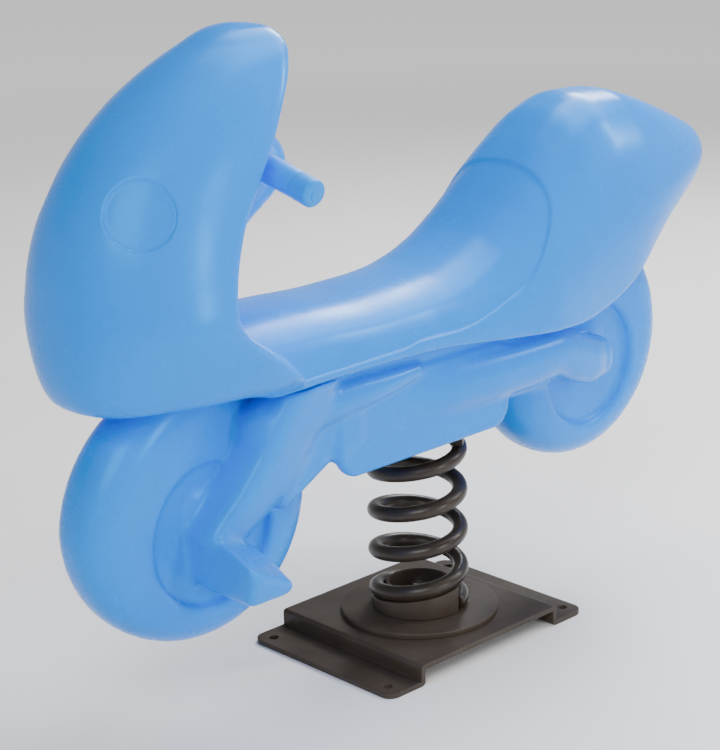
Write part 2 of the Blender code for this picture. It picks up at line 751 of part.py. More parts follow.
def seat_ring(y, under, inset=0.0):
    lo, hi = SEAT_Y[0], SEAT_Y[-1]
    half = seat_half(y) - inset * min(2.5, steepness(seat_half, y, lo, hi))
    crown = seat_crown(y) - inset * steepness(seat_crown, y, lo, hi)
    under = under + inset * (1.25 if y > 0.24 else 1.0) * (1.0 if inset else 0.0)
    height = crown - under
    crease = min(0.014, 0.35 * height)
    waist = under + crease
    pts = []
    n = 14
    for k in range(n + 1):
        a = math.pi * k / n
        c, s = math.cos(a), math.sin(a)
        pts.append(Vector((half * power(c, 2.0 / SEAT_POWER), y,
                           waist + (crown - waist) * power(s, 2.0 / SEAT_POWER))))
    for side in (-1, 1):
        steps = ((0.30, 0.42), (0.95, 0.0))
        if side > 0:
            steps = tuple(reversed(steps))
        for pull, rise in steps:
            pts.append(Vector((side * (half - crease * 0.9 * pull), y,
                               under + crease * rise)))
    return pts


parting = [(y, seat_under(y)) for y in STATIONS]


def above_parting(offset):
    """Everything above the parting surface, lowered by offset."""
    line = [(-0.60, FAIR_FLOOR - offset), (-0.2505, FAIR_FLOOR - offset)]
    line += [(y, z - offset) for y, z in parting]
    line += [(0.60, parting[-1][1] + 0.05 - offset), (0.60, 0.9), (-0.60, 0.9)]
    return loft([[Vector((x, y, z)) for y, z in line] for x in (-0.3, 0.3)])


def arch(axle, radius, half):
    return turned([(radius, -half), (radius, half)], 32, (0, axle[0], axle[1]), "X")


fair_levels = [0.372, 0.376, 0.382, 0.390, 0.400, 0.415, 0.430, 0.450, 0.470,
               0.510, 0.550, 0.590, 0.630, 0.665, 0.695, 0.715, 0.727, 0.7335,
               0.736]
upper = as_object(loft([fairing_ring(z) for z in fair_levels]), "upper")
front_under = FAIR_FLOOR + 0.0025
seat_rows = [seat_ring(y, front_under) for y in (-0.400, -0.320, -0.2505)]
seat_rows += [seat_ring(y, z) for y, z in parting]
combine(upper, [
    loft(seat_rows),
    tube([(0, -0.310, 0.597), (0, -0.272, 0.596), (0, -0.232, 0.592)],
         [0.047, 0.042, 0.038], 20, round_start=False),
    tube([(0, -0.335, 0.500), (0, -0.300, 0.535), (0, -0.262, 0.566)],
         [0.040, 0.038, 0.034], 16, round_start=False),
], "UNION")

cavity = as_object(loft([fairing_ring(z, WALL) for z in
                         (0.3805, 0.386, 0.393, 0.402, 0.416, 0.430, 0.450, 0.470,
                          0.510, 0.550, 0.590, 0.630, 0.665, 0.690, 0.708)]),
                   "cavity")
seat_rows = [seat_ring(y, front_under, WALL) for y in (-0.392, -0.320, -0.2505)]
seat_rows += [seat_ring(y, z, WALL) for y, z in parting[:-3]]
seat_rows.append(seat_ring(0.462, seat_under(0.462), WALL))
combine(cavity, [loft(seat_rows)], "UNION")
guards = [arch(FRONT_AXLE, WHEEL_R + 0.012, WHEEL_HALF + 0.014),
          arch(REAR_AXLE, WHEEL_R + 0.012, WHEEL_HALF + 0.014)]
for sx, sy in CORNERS:
    guards.append(turned([(0.0160, 0.30), (0.0160, INSERT_Z[1] + 0.006)], 12,
                         (sx * BODY_BOLT[0], sy * BODY_BOLT[1], 0)))
for x, y, head, tip, low, high in SHELL_BOLTS:
    guards.append(turned([(0.0140, 0.30), (0.0140, high + 0.006)], 12, (x, y, 0)))
combine(cavity, guards, "DIFFERENCE")
combine(upper, [cavity], "DIFFERENCE")

cuts = [arch(FRONT_AXLE, WHEEL_R + 0.006, WHEEL_HALF + 0.008),
        arch(REAR_AXLE, WHEEL_R + 0.006, WHEEL_HALF + 0.008),
        bar_solid([-0.08] + bar_xs[1:-1] + [0.08], BAR_R + GAP, 16),
        turned([(0.004, 0.34), (0.004, 0.39)], 12, (0, -0.10, 0))]
for sx, sy in CORNERS:
    x, y = sx * BODY_BOLT[0], sy * BODY_BOLT[1]
    cuts.append(hexagon(0.009 + 2 * GAP, INSERT_Z[0] - GAP, INSERT_Z[1] + GAP, x, y))
    cuts.append(turned([(0.0055, 0.34), (0.0055, INSERT_Z[0])], 12, (x, y, 0)))
for x, y, head, tip, low, high in SHELL_BOLTS:
    cuts.append(hexagon(0.0075 + 2 * GAP, low - GAP, high + GAP, x, y))
    cuts.append(turned([(0.0045, 0.34), (0.0045, low)], 12, (x, y, 0)))
combine(upper, cuts, "DIFFERENCE")
tidy(upper)
finish(upper, "upper_body_shell", BLUE, (0, 0, SPRING_MID_Z), rider, sharp=40.0)


# ----------------------------------------------------------------------------
# Lower shell: chassis, box over the plate, forks, arms, wheels, foot pegs
# ----------------------------------------------------------------------------
SPINE = (
    # (y, half width, underside)
    (-0.262, 0.046, 0.318), (-0.252, 0.058, 0.302), (-0.230, 0.068, 0.292),
    (-0.195, 0.072, 0.288), (-0.120, 0.072, 0.286), (0.000, 0.072, 0.280),
    (0.080, 0.072, 0.272), (0.130, 0.071, 0.268), (0.170, 0.067, 0.270),
    (0.192, 0.058, 0.278), (0.202, 0.044, 0.292),
)


def spine_ring(y, half, low, inset=0.0):
    """Rounded section with a flat roof."""
    half, low, high = half - inset, low + inset, 0.384
    r = 0.026 if half > 0.05 else 0.020
    pts = []
    for sx, turn in ((1, 0), (-1, 1)):
        arc = []
        for k in range(4):
            a = math.radians(30.0 * k)
            arc.append(Vector((sx * (half - r + r * math.cos(a)), y,
                               low + r - r * math.sin(a))))
        row = [Vector((sx * half, y, high))] + arc
        pts += row if turn == 0 else list(reversed(row))
    return pts


def spine(inset=0.0):
    rows = [spine_ring(y, h, z, inset) for y, h, z in SPINE]
    if inset:
        rows = [spine_ring(y + (inset if k == 1 else -inset if k == len(SPINE) - 2 else 0.0),
                           h, z, inset)
                for k, (y, h, z) in enumerate(SPINE) if 0 < k < len(SPINE) - 1]
    return loft(rows)


BOX_LO, BOX_HI = (-0.0765, -0.0765, 0.250), (0.0765, 0.0765, 0.350)


def wheel(axle, inner=False):
    if inner:
        half = [(0.088, 0.0280), (0.102, 0.0340), (0.116, 0.0320), (0.130, 0.0215),
                (0.1370, 0.0060)]
        sides = 16
    else:
        half = [(0.028, 0.0385), (0.037, 0.0365), (0.045, 0.0340), (0.078, 0.0340),
                (0.088, 0.0376), (0.098, 0.0425), (0.114, 0.0425), (0.130, 0.0370),
                (0.1400, 0.0235), (0.1440, 0.0080)]
        sides = 26
    profile = half + [(r, -x) for r, x in reversed(half)]
    return turned(profile, sides, (0, axle[0], axle[1]), "X")


fork_radius = station_curve([0.0, 0.4, 1.0], [0.034, 0.031, 0.026])
ARM = (
    # x, y, z, radius
    (0.055, -0.045, 0.303, 0.026), (0.062, 0.005, 0.314, 0.029),
    (0.065, 0.060, 0.3155, 0.030), (0.066, 0.110, 0.3155, 0.030),
    (0.064, 0.155, 0.315, 0.0295), (0.060, 0.195, 0.304, 0.031),
    (0.056, 0.228, 0.292, 0.0295), (0.053, 0.250, 0.287, 0.024),
)


def fork(inset=0.0):
    n = 4 if inset else 6
    path = arc_path((0.055, -0.238, 0.345), (0.050, -0.318, 0.272), (0.047, -0.340, 0.232), n)
    radii = [fork_radius(k / (n - 1)) - inset for k in range(n)]
    return tube(path, radii, 8 if inset else 12, squash=0.85)


def arm(inset=0.0):
    rows = ARM[::2] + ARM[-2:-1] if inset else ARM
    return tube([row[:3] for row in rows], [row[3] - inset for row in rows],
                8 if inset else 12, squash=0.9)


def ridge():
    return tube([(0.058, -0.275, 0.335), (0.065, -0.180, 0.341), (0.071, -0.075, 0.347)],
                [0.026, 0.021, 0.013], 10)


def cheek():
    """Side wall that runs forward from the box over the mounting plate."""
    return block((0.0640, -0.185, 0.250), (0.0765, -0.070, 0.315), bevel=0.004)


def peg(inset=0.0):
    half = (0.050 - inset, 0.030 - inset, 0.020 - inset)
    tilt = Matrix.Rotation(math.atan(0.25), 3, "Y")
    bm = block([-h for h in half], half, bevel=0.012 - inset * 0.6, segments=2,
               rotation=tilt)
    return moved(bm, 0.079, -0.335, 0.2225)


lower = as_object(spine(), "lower")
combine(lower, [block(BOX_LO, BOX_HI, bevel=0.007), cheek(), mirrored(cheek()),
                ridge(), mirrored(ridge()),
                arm(), mirrored(arm()), fork(), mirrored(fork())], "UNION")
combine(lower, [above_parting(GAP)], "DIFFERENCE")
combine(lower, [wheel(FRONT_AXLE), wheel(REAR_AXLE), peg(), mirrored(peg())], "UNION")

cavity = as_object(spine(WALL), "cavity")
combine(cavity, [block([BOX_LO[0] + WALL, BOX_LO[1] + WALL, 0.255],
                       [BOX_HI[0] - WALL, BOX_HI[1] - WALL, 0.340]),
                 fork(WALL), mirrored(fork(WALL)), arm(WALL), mirrored(arm(WALL))],
        "UNION")
combine(cavity, [above_parting(WALL)], "DIFFERENCE")
combine(cavity, [wheel(FRONT_AXLE, True), wheel(REAR_AXLE, True),
                 peg(WALL), mirrored(peg(WALL))], "UNION")
POCKET_HALF = (PLATE_HALF[0] + 0.003, PLATE_HALF[1] + 0.003)
POCKET_TOP = PLATE_Z + PLATE_T + GAP
guards = [block((-0.10, -0.090, 0.20), (0.10, 0.090, POCKET_TOP + 0.006))]
for sx, sy in CORNERS:
    guards.append(turned([(0.0135, 0.24), (0.0135, 0.42)], 12,
                         (sx * BODY_BOLT[0], sy * BODY_BOLT[1], 0)))
for x, y, head, tip, low, high in SHELL_BOLTS:
    guards.append(turned([(0.0120, 0.24), (0.0120, 0.42)], 12, (x, y, 0)))
    guards.append(turned([(0.0155, 0.20), (0.0155, head + 0.006)], 12, (x, y, 0)))
combine(cavity, guards, "DIFFERENCE")
combine(lower, [cavity], "DIFFERENCE")

cuts = [block((-POCKET_HALF[0], -POCKET_HALF[1], 0.20),
              (POCKET_HALF[0], POCKET_HALF[1], POCKET_TOP)),
        turned([(0.004, 0.26), (0.004, 0.290)], 12, (0.03, 0.0, 0.0))]
for sx, sy in CORNERS:
    cuts.append(turned([(0.0055, 0.25), (0.0055, 0.40)], 12,
                       (sx * BODY_BOLT[0], sy * BODY_BOLT[1], 0)))
for x, y, head, tip, low, high in SHELL_BOLTS:
    cuts.append(turned([(0.0045, 0.25), (0.0045, 0.40)], 12, (x, y, 0)))
    cuts.append(turned([(0.0095, head - 0.028), (0.0095, head + GAP)], 12, (x, y, 0)))
combine(lower, cuts, "DIFFERENCE")
tidy(lower)
finish(lower, "lower_body_shell", BLUE, (0, 0, SPRING_MID_Z), rider, sharp=40.0)
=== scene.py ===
"""Looks of the spring rider: fine skins over the solids, finishes, light and camera.

Metres, +Z up, the nose along -Y and the rider's left along +X, as in the part.
"""

import math

import bmesh
import bpy
import numpy as np
from mathutils import Matrix, Vector


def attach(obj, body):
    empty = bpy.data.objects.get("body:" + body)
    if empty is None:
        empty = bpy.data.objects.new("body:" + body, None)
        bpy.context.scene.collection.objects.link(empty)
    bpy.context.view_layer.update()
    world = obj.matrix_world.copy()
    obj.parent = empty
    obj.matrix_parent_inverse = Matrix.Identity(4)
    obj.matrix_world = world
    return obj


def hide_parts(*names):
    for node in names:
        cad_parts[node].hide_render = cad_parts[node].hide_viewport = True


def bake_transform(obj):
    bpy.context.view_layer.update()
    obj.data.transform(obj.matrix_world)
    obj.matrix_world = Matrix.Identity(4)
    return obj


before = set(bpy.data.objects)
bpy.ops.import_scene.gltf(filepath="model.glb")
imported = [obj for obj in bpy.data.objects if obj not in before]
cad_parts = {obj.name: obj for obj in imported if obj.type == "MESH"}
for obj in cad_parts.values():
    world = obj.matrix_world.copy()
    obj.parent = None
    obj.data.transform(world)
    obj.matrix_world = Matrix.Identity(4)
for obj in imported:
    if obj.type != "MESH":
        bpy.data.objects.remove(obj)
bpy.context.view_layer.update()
SKIN_STEP = 0.0024

# ----------------------------------------------------------------------------
# Dimensions
# ----------------------------------------------------------------------------
COIL_R, WIRE_R, PITCH, COIL_Z0 = 0.0495, 0.009, 0.0486, 0.0411
COIL_START, COIL_END = 17.0, 1820.0
COIL_LEVEL_LOW, COIL_LEVEL_HIGH, COIL_EASE = 135.0, 1702.0, 25.0

FRONT_AXLE = (-0.336, 0.2505)
REAR_AXLE = (0.259, 0.300)
WHEEL_R, WHEEL_HALF = 0.144, 0.042

# fairing: nose line, rear line and half width at each height
FAIR_Z = [0.372, 0.376, 0.382, 0.390, 0.400, 0.415, 0.430, 0.450, 0.470,
          0.510, 0.550, 0.590, 0.630, 0.665, 0.696, 0.718, 0.7315, 0.736]
FAIR_NOSE = [-0.436, -0.456, -0.470, -0.478, -0.483, -0.487, -0.489, -0.490,
             -0.490, -0.488, -0.479, -0.461, -0.431, -0.393, -0.347, -0.303,
             -0.273, -0.255]
FAIR_REAR = [-0.2665, -0.2600, -0.257, -0.260, -0.268, -0.284, -0.303, -0.330,
             -0.344, -0.335, -0.320, -0.294, -0.266, -0.243, -0.221, -0.211,
             -0.217, -0.238]
FAIR_HALF = [0.069, 0.089, 0.104, 0.1125, 0.1175, 0.120, 0.121, 0.121, 0.120,
             0.113, 0.107, 0.100, 0.093, 0.083, 0.067, 0.050, 0.031, 0.008]
FAIR_POWER = 2.3

# saddle and tail: crown, underside and half width at each station
SEAT_Y = [-0.400, -0.300, -0.200, -0.120, -0.060, -0.020, 0.020, 0.060, 0.100,
          0.140, 0.180, 0.220, 0.260, 0.300, 0.340, 0.380, 0.420, 0.450,
          0.475, 0.490]
SEAT_CROWN = [0.450, 0.447, 0.444, 0.440, 0.441, 0.444, 0.453, 0.470, 0.498,
              0.532, 0.565, 0.591, 0.602, 0.601, 0.591, 0.576, 0.559, 0.546,
              0.533, 0.517]
SEAT_UNDER = [0.372, 0.372, 0.373, 0.372, 0.370, 0.367, 0.363, 0.359, 0.355,
              0.352, 0.350, 0.355, 0.368, 0.388, 0.417, 0.445, 0.465, 0.477,
              0.486, 0.496]
SEAT_HALF = [0.095, 0.098, 0.098, 0.097, 0.097, 0.099, 0.102, 0.105, 0.107,
             0.109, 0.109, 0.108, 0.106, 0.102, 0.096, 0.088, 0.076, 0.061,
             0.041, 0.019]
SEAT_POWER = 2.6
FLOOR_Z = 0.372

# edge of the sunk saddle pan: angle from the crown at each station
PAN_Y = [-0.300, -0.110, -0.080, -0.035, -0.003, 0.023, 0.052, 0.084, 0.105,
         0.124, 0.139, 0.155]
PAN_ANGLE = [82.0, 79.0, 75.5, 75.2, 72.4, 68.7, 64.8, 62.0, 57.8, 51.5, 46.5,
             42.0]
PAN_REAR = 0.1455
PAN_DEPTH = 0.0032

RECESS = (0.071, -0.426, 0.581)
RECESS_R = 0.0340
RECESS_DEPTH = 0.0030

SPINE_Y = [-0.262, -0.252, -0.230, -0.195, -0.120, 0.000, 0.080, 0.130, 0.170,
           0.192, 0.202]
SPINE_HALF = [0.046, 0.058, 0.068, 0.072, 0.072, 0.072, 0.072, 0.071, 0.067,
              0.058, 0.044]
SPINE_UNDER = [0.318, 0.302, 0.292, 0.288, 0.286, 0.280, 0.272, 0.268, 0.270,
               0.278, 0.292]

CORNERS = ((-1, -1), (1, -1), (1, 1), (-1, 1))
BODY_BOLT = (0.050, 0.050)
SHELL_BOLTS = ((-0.040, -0.185, 0.2932, 0.396), (0.040, -0.185, 0.2932, 0.396),
               (0.036, 0.097, 0.2777, 0.377), (-0.036, 0.097, 0.2777, 0.377))


# ----------------------------------------------------------------------------
# Shape functions: negative inside, roughly the distance in metres
# ----------------------------------------------------------------------------
def track(stations, values, t):
    """Smooth curve through the stations that never overshoots a value."""
    s = np.asarray(stations, float)
    v = np.asarray(values, float)
    t = np.clip(t, s[0], s[-1])
    h = np.diff(s)
    step = np.diff(v) / h
    slope = np.empty_like(v)
    slope[0], slope[-1] = step[0], step[-1]
    w0, w1 = 2 * h[1:] + h[:-1], h[1:] + 2 * h[:-1]
    same = step[:-1] * step[1:] > 0
    a = np.where(same, step[:-1], 1.0)
    b = np.where(same, step[1:], 1.0)
    slope[1:-1] = np.where(same, (w0 + w1) / (w0 / a + w1 / b), 0.0)
    i = np.clip(np.searchsorted(s, t, side="right") - 1, 0, len(s) - 2)
    u = (t - s[i]) / h[i]
    return (v[i] * (1 + 2 * u) * (1 - u) ** 2 + slope[i] * h[i] * u * (1 - u) ** 2
            + v[i + 1] * u * u * (3 - 2 * u) + slope[i + 1] * h[i] * u * u * (u - 1))


def rise(t, a, b):
    """0 below a, 1 above b, smooth between."""
    u = np.clip((t - a) / (b - a), 0, 1)
    return u * u * (3 - 2 * u)


def join(a, b, k):
    """Union with a fillet."""
    h = np.maximum(k - np.abs(a - b), 0) / k
    return np.minimum(a, b) - h * h * (k * 0.25)


def trim(a, b, k):
    """Intersection with a rounded edge."""
    return -join(-a, -b, k)


def span(*parts):
    return np.sqrt(sum(p * p for p in parts))


def oval(parts, power):
    """Rounded box: parts are (offset, half size) pairs, power its squareness."""
    total = 0.0
    slope = 0.0
    for offset, half in parts:
        u = np.abs(offset) / half
        total = total + u ** power
        slope = slope + (u ** (power - 1) / half) ** 2
    k = total ** (1.0 / power) + 1e-6
    slope = np.sqrt(slope) / k ** (power - 1)
    return (k - 1) / np.maximum(slope, 4.0)


def round_cone(x, y, z, a, b, ra, rb):
    a, b = np.array(a), np.array(b)
    d = b - a
    t = np.clip(((x - a[0]) * d[0] + (y - a[1]) * d[1] + (z - a[2]) * d[2]) / (d @ d), 0, 1)
    return span(x - a[0] - t * d[0], y - a[1] - t * d[1], z - a[2] - t * d[2]) - (ra + (rb - ra) * t)


def limb(along, side, height, rows, power):
    """Bar along one direction; rows hold station, side and height of its middle,
    half width and half height."""
    s, sc, hc, hw, hh = (np.array(c) for c in zip(*rows))
    at = np.clip(along, s[0], s[-1])
    width, tall = track(s, hw, at), track(s, hh, at)
    return oval(((side - track(s, sc, at), width), (height - track(s, hc, at), tall),
                 (along - at, np.minimum(width, tall))), power)


def parting(y):
    """Height of the joint between the two mouldings."""
    bow = 0.012 * rise(y, -0.280, -0.340) * (1 - 0.35 * rise(y, -0.400, -0.460))
    return np.where(y < -0.2505, FLOOR_Z + bow,
                    FLOOR_Z + (track(SEAT_Y, SEAT_UNDER, y) - FLOOR_Z) * rise(y, -0.2505, -0.2300))


def fairing(x, y, z):
    zc = np.clip(z, FAIR_Z[0], FAIR_Z[-1])
    nose, rear = track(FAIR_Z, FAIR_NOSE, zc), track(FAIR_Z, FAIR_REAR, zc)
    half = track(FAIR_Z, FAIR_HALF, zc)
    d = oval(((x, half), (np.minimum(y - rear, 0), rear - nose)), FAIR_POWER)
    size = rise(zc, 0.725, 0.640)
    dish = 0.016 * np.clip(1 - (x / half) ** 2, 0, 1) * rise(zc, 0.43, 0.52) * size
    back = (y - rear + dish) * 0.93
    rim = 0.006 + 0.014 * rise(zc, 0.415, 0.50) + 0.022 * rise(zc, 0.380, 0.410) * rise(zc, 0.475, 0.430)
    h = np.maximum(rim - np.abs(d - back), 0) / rim
    d = np.maximum(d, back) + h * h * (rim * 0.25)
    return trim(d, z - FAIR_Z[-1], 0.006)


def saddle(x, y, z):
    yc = np.clip(y, SEAT_Y[0], SEAT_Y[-1])
    crown, under = track(SEAT_Y, SEAT_CROWN, yc), track(SEAT_Y, SEAT_UNDER, yc)
    half = track(SEAT_Y, SEAT_HALF, yc)
    tall = crown - under
    up = np.maximum(z - under, 0)
    tuck = (0.13 * rise(yc, 0.10, 0.24) + 0.07 * rise(yc, 0.27, 0.37)) * np.clip(1 - up / (0.55 * tall), 0, 1) ** 2
    half = half * (1 - tuck)
    d = oval(((x, half), (up, tall)), SEAT_POWER)
    d = trim(d, y - SEAT_Y[-1], 0.01)
    d = trim(d, SEAT_Y[0] - y, 0.01)
    angle = np.degrees(np.arctan2(x / half, np.maximum(up, 1e-4) / tall))
    edge = (angle - track(PAN_Y, PAN_ANGLE, yc)) * 0.0018
    pan = trim(edge, y - PAN_REAR, 0.020)
    sunk = trim(pan, -(d + PAN_DEPTH), 0.0035)
    return trim(d, -sunk, 0.0040)


def boss(x, y, z):
    a = round_cone(x, y, z, (0, -0.300, 0.597), (0, -0.232, 0.592), 0.0455, 0.038)
    b = round_cone(x, y, z, (0, -0.315, 0.520), (0, -0.264, 0.566), 0.039, 0.034)
    return join(a, b, 0.03)


def drum(x, y, z, axle, radius, half):
    return np.maximum(span(y - axle[0], z - axle[1]) - radius, x - half)


def surface_normal(field, p):
    e = 1e-4
    p = np.array(p, float)
    g = []
    for k in range(3):
        a, b = p.copy(), p.copy()
        a[k] += e
        b[k] -= e
        g.append(float(field(*[np.array([c]) for c in a])[0] - field(*[np.array([c]) for c in b])[0]))
    g = np.array(g)
    return g / np.linalg.norm(g)


RECESS_AXIS = surface_normal(fairing, RECESS)


def upper_skin(x, y, z):
    x = np.abs(x)
    f = fairing(x, y, z)
    dx, dy, dz = x - RECESS[0], y - RECESS[1], z - RECESS[2]
    along = dx * RECESS_AXIS[0] + dy * RECESS_AXIS[1] + dz * RECESS_AXIS[2]
    out = np.sqrt(np.maximum(dx * dx + dy * dy + dz * dz - along * along, 0)) - RECESS_R
    sunk = trim(np.maximum(out, np.abs(along) - 0.05), -(f + RECESS_DEPTH), 0.0030)
    f = trim(f, -sunk, 0.0034)
    d = join(f, saddle(x, y, z), 0.008)
    d = join(d, boss(x, y, z), 0.020)
    d = trim(d, parting(y) + 0.0012 - z, 0.008)
    d = trim(d, -drum(x, y, z, FRONT_AXLE, WHEEL_R + 0.006, WHEEL_HALF + 0.008), 0.004)
    return trim(d, -drum(x, y, z, REAR_AXLE, WHEEL_R + 0.006, WHEEL_HALF + 0.008), 0.004)


def wheel(x, y, z, axle, swell=0.0):
    """Tyre with rounded shoulders and a dish set low in its side; swell is how far
    the tread stands out at the front."""
    r = span(y - axle[0], z - axle[1])
    ahead = np.clip((axle[0] - y) / np.maximum(r, 0.02), 0, 1)
    over = np.clip((z - axle[1]) / np.maximum(r, 0.02), 0, 1) * (1.0 if swell else 0.0)
    tread = WHEEL_R - 0.098 + swell * ahead ** 2 - 0.010 * ahead * over
    d = oval(((x, WHEEL_HALF + 0.0012 - 0.004 * over), (np.maximum(r - 0.098, 0), tread)), 2.35)
    low = span(y - axle[0], z - axle[1] + 0.024) - 0.0755
    dish = trim(low, 0.0335 - x, 0.006)
    d = trim(d, -dish, 0.009)
    hub = oval(((x, 0.0395), (r, 0.034)), 3.0)
    return join(d, hub, 0.010)


FORK = (
    # station, side, across, half width, half across
    (-0.045, 0.057, -0.008, 0.034, 0.036),
    (0.030, 0.055, 0.001, 0.033, 0.041),
    (0.075, 0.053, 0.008, 0.033, 0.038),
    (0.115, 0.050, 0.006, 0.031, 0.032),
    (0.145, 0.047, 0.003, 0.028, 0.028),
)
ARM = (
    # y, side, height, half width, half height
    (-0.130, 0.048, 0.322, 0.020, 0.020),
    (-0.060, 0.055, 0.317, 0.025, 0.027),
    (-0.005, 0.061, 0.3155, 0.028, 0.030),
    (0.050, 0.064, 0.3155, 0.0285, 0.031),
    (0.110, 0.065, 0.3155, 0.028, 0.0305),
    (0.155, 0.063, 0.316, 0.028, 0.0295),
    (0.195, 0.060, 0.304, 0.027, 0.033),
    (0.228, 0.057, 0.2915, 0.0255, 0.031),
    (0.250, 0.054, 0.288, 0.022, 0.026),
)
RIDGE = (
    (-0.275, 0.058, 0.335, 0.026, 0.026),
    (-0.180, 0.065, 0.341, 0.021, 0.020),
    (-0.110, 0.070, 0.345, 0.015, 0.013),
    (-0.072, 0.072, 0.348, 0.009, 0.008),
)


def peg(x, y, z):
    out = np.maximum(x - 0.060, 0)
    top = 0.2385 - 1.1 * out ** 1.55 - (0.44 + 2.2 * out) * (y + 0.362)
    d = trim(-0.364 - y, y + 0.2995, 0.008)
    d = trim(d, (z - top) * 0.88, 0.010)
    d = trim(d, 0.176 + 0.10 * np.maximum(0.06 - x, 0) - z, 0.014)
    return trim(d, x - 0.1335 + 0.25 * np.maximum(0.205 - z, 0), 0.009)


def lower_skin(x, y, z):
    x = np.abs(x)
    half, under = track(SPINE_Y, SPINE_HALF, y), track(SPINE_Y, SPINE_UNDER, y)
    qx, qz = x - half + 0.026, under + 0.026 - z
    d = span(np.maximum(qx, 0), np.maximum(qz, 0)) + np.minimum(np.maximum(qx, qz), 0) - 0.026
    d = trim(d, np.maximum(-0.262 - y, y - 0.203), 0.016)
    qy, qz = np.abs(y + 0.055) - 0.1315 + 0.026, np.abs(z - 0.301) - 0.050 + 0.026
    box = span(np.maximum(qy, 0), np.maximum(qz, 0)) + np.minimum(np.maximum(qy, qz), 0) - 0.026
    box = trim(box, x - 0.0765, 0.006)
    ahead = np.maximum(np.maximum(x - 0.0640, y + 0.0770), z - under - 0.004)
    box = trim(box, -ahead, 0.004)
    d = join(d, box, 0.006)
    s = (y + 0.238) * -0.670 + (z - 0.345) * -0.742
    t = (y + 0.238) * 0.742 + (z - 0.345) * -0.670
    d = join(d, limb(y, x, z, RIDGE, 2.2), 0.006)
    d = join(d, limb(y, x, z, ARM, 2.3), 0.008)
    fork = limb(s, x + 0.24 * (t - 0.006), t, FORK, 3.2)
    d = join(d, fork, 0.010)
    web = trim(x - 0.0735, (0.277 + 0.54 * (y + 0.187) - z) * 0.88, 0.016)
    web = trim(web, np.maximum(np.maximum(y + 0.160, -0.265 - y), z - 0.345), 0.010)
    d = join(d, web, 0.014)
    d = trim(d, z - parting(y) + 0.0012, 0.005)
    d = join(d, wheel(x, y, z, FRONT_AXLE, 0.0065), 0.010)
    d = join(d, wheel(x, y, z, REAR_AXLE), 0.010)
    d = join(d, peg(x, y, z), 0.010)
    pocket = np.maximum(np.maximum(x - 0.065, np.abs(y) - 0.065), z - 0.2686)
    d = trim(d, -pocket, 0.003)
    for bx, by, head, tip in SHELL_BOLTS[1:3]:
        bore = np.maximum(span(x - bx, y - by) - 0.0095, z - head - 0.0003)
        d = trim(d, -bore, 0.0015)
    return d


# ----------------------------------------------------------------------------
# Mesh from a shape function
# ----------------------------------------------------------------------------
def sample(field, low, high, step):
    """Values on a grid that is mirrored about the plane x = 0."""
    xs = np.arange(int(math.ceil(high[0] / step)) + 1) * step
    ys = low[1] + np.arange(int(math.ceil((high[1] - low[1]) / step)) + 1) * step
    zs = low[2] + np.arange(int(math.ceil((high[2] - low[2]) / step)) + 1) * step
    values = np.empty((len(xs), len(ys), len(zs)), np.float32)
    for i in range(0, len(xs), 12):
        values[i:i + 12] = field(xs[i:i + 12, None, None], ys[None, :, None], zs[None, None, :])
    return np.concatenate([values[:0:-1], values]), np.array([-xs[-1], ys[0], zs[0]])


def net(values, low, step):
    """One vertex in each cell that the surface crosses, one quad on each crossed edge."""
    inside = values < 0
    nx, ny, nz = values.shape
    count = np.zeros((nx - 1, ny - 1, nz - 1), np.int8)
    for i in (0, 1):
        for j in (0, 1):
            for k in (0, 1):
                count += inside[i:nx - 1 + i, j:ny - 1 + j, k:nz - 1 + k]
    cells = np.stack(np.nonzero((count > 0) & (count < 8)), -1)
    number = -np.ones(count.shape, np.int64)
    number[tuple(cells.T)] = np.arange(len(cells))
    total, hits = np.zeros((len(cells), 3)), np.zeros(len(cells))
    for a in [(i, j, k) for i in (0, 1) for j in (0, 1) for k in (0, 1)]:
        for axis in range(3):
            if a[axis]:
                continue
            b = list(a)
            b[axis] = 1
            fa = values[tuple((cells + a).T)]
            fb = values[tuple((cells + b).T)]
            crossed = (fa < 0) != (fb < 0)
            share = np.where(crossed, fa / np.where(fa == fb, 1, fa - fb), 0)
            point = np.tile(np.array(a, float), (len(cells), 1))
            point[:, axis] += share
            total += point * crossed[:, None]
            hits += crossed
    verts = low + step * (cells + total / hits[:, None])
    faces = []
    for axis in range(3):
        near, far = [slice(1, -1)] * 3, [slice(1, -1)] * 3
        near[axis], far[axis] = slice(0, -1), slice(1, None)
        first, second = inside[tuple(near)], inside[tuple(far)]
        start = np.array([s.start for s in near])
        u, v = ((1, 2), (2, 0), (0, 1))[axis]
        for flip, edges in ((False, first & ~second), (True, ~first & second)):
            at = np.stack(np.nonzero(edges), -1) + start
            ring = []
            for du, dv in ((-1, -1), (0, -1), (0, 0), (-1, 0)):
                q = at.copy()
                q[:, u] += du
                q[:, v] += dv
                ring.append(number[tuple(q.T)])
            quad = np.stack(ring, -1)
            faces.append(quad[:, ::-1] if flip else quad)
    return verts, np.concatenate(faces)


def settle(field, verts, rounds=3):
    """Moves the vertices onto the surface; also returns the surface's normals."""
    e = 1e-4
    for _ in range(rounds + 1):
        x, y, z = verts.T
        g = np.stack([field(x + e, y, z) - field(x - e, y, z),
                      field(x, y + e, z) - field(x, y - e, z),
                      field(x, y, z + e) - field(x, y, z - e)], -1) / (2 * e)
        size = (g * g).sum(-1)
        if _ == rounds:
            break
        pull = np.clip(field(x, y, z) / np.maximum(size, 0.05), -0.003, 0.003)
        verts = verts - g * pull[:, None]
    return verts, g / np.maximum(np.sqrt(size), 1e-9)[:, None]


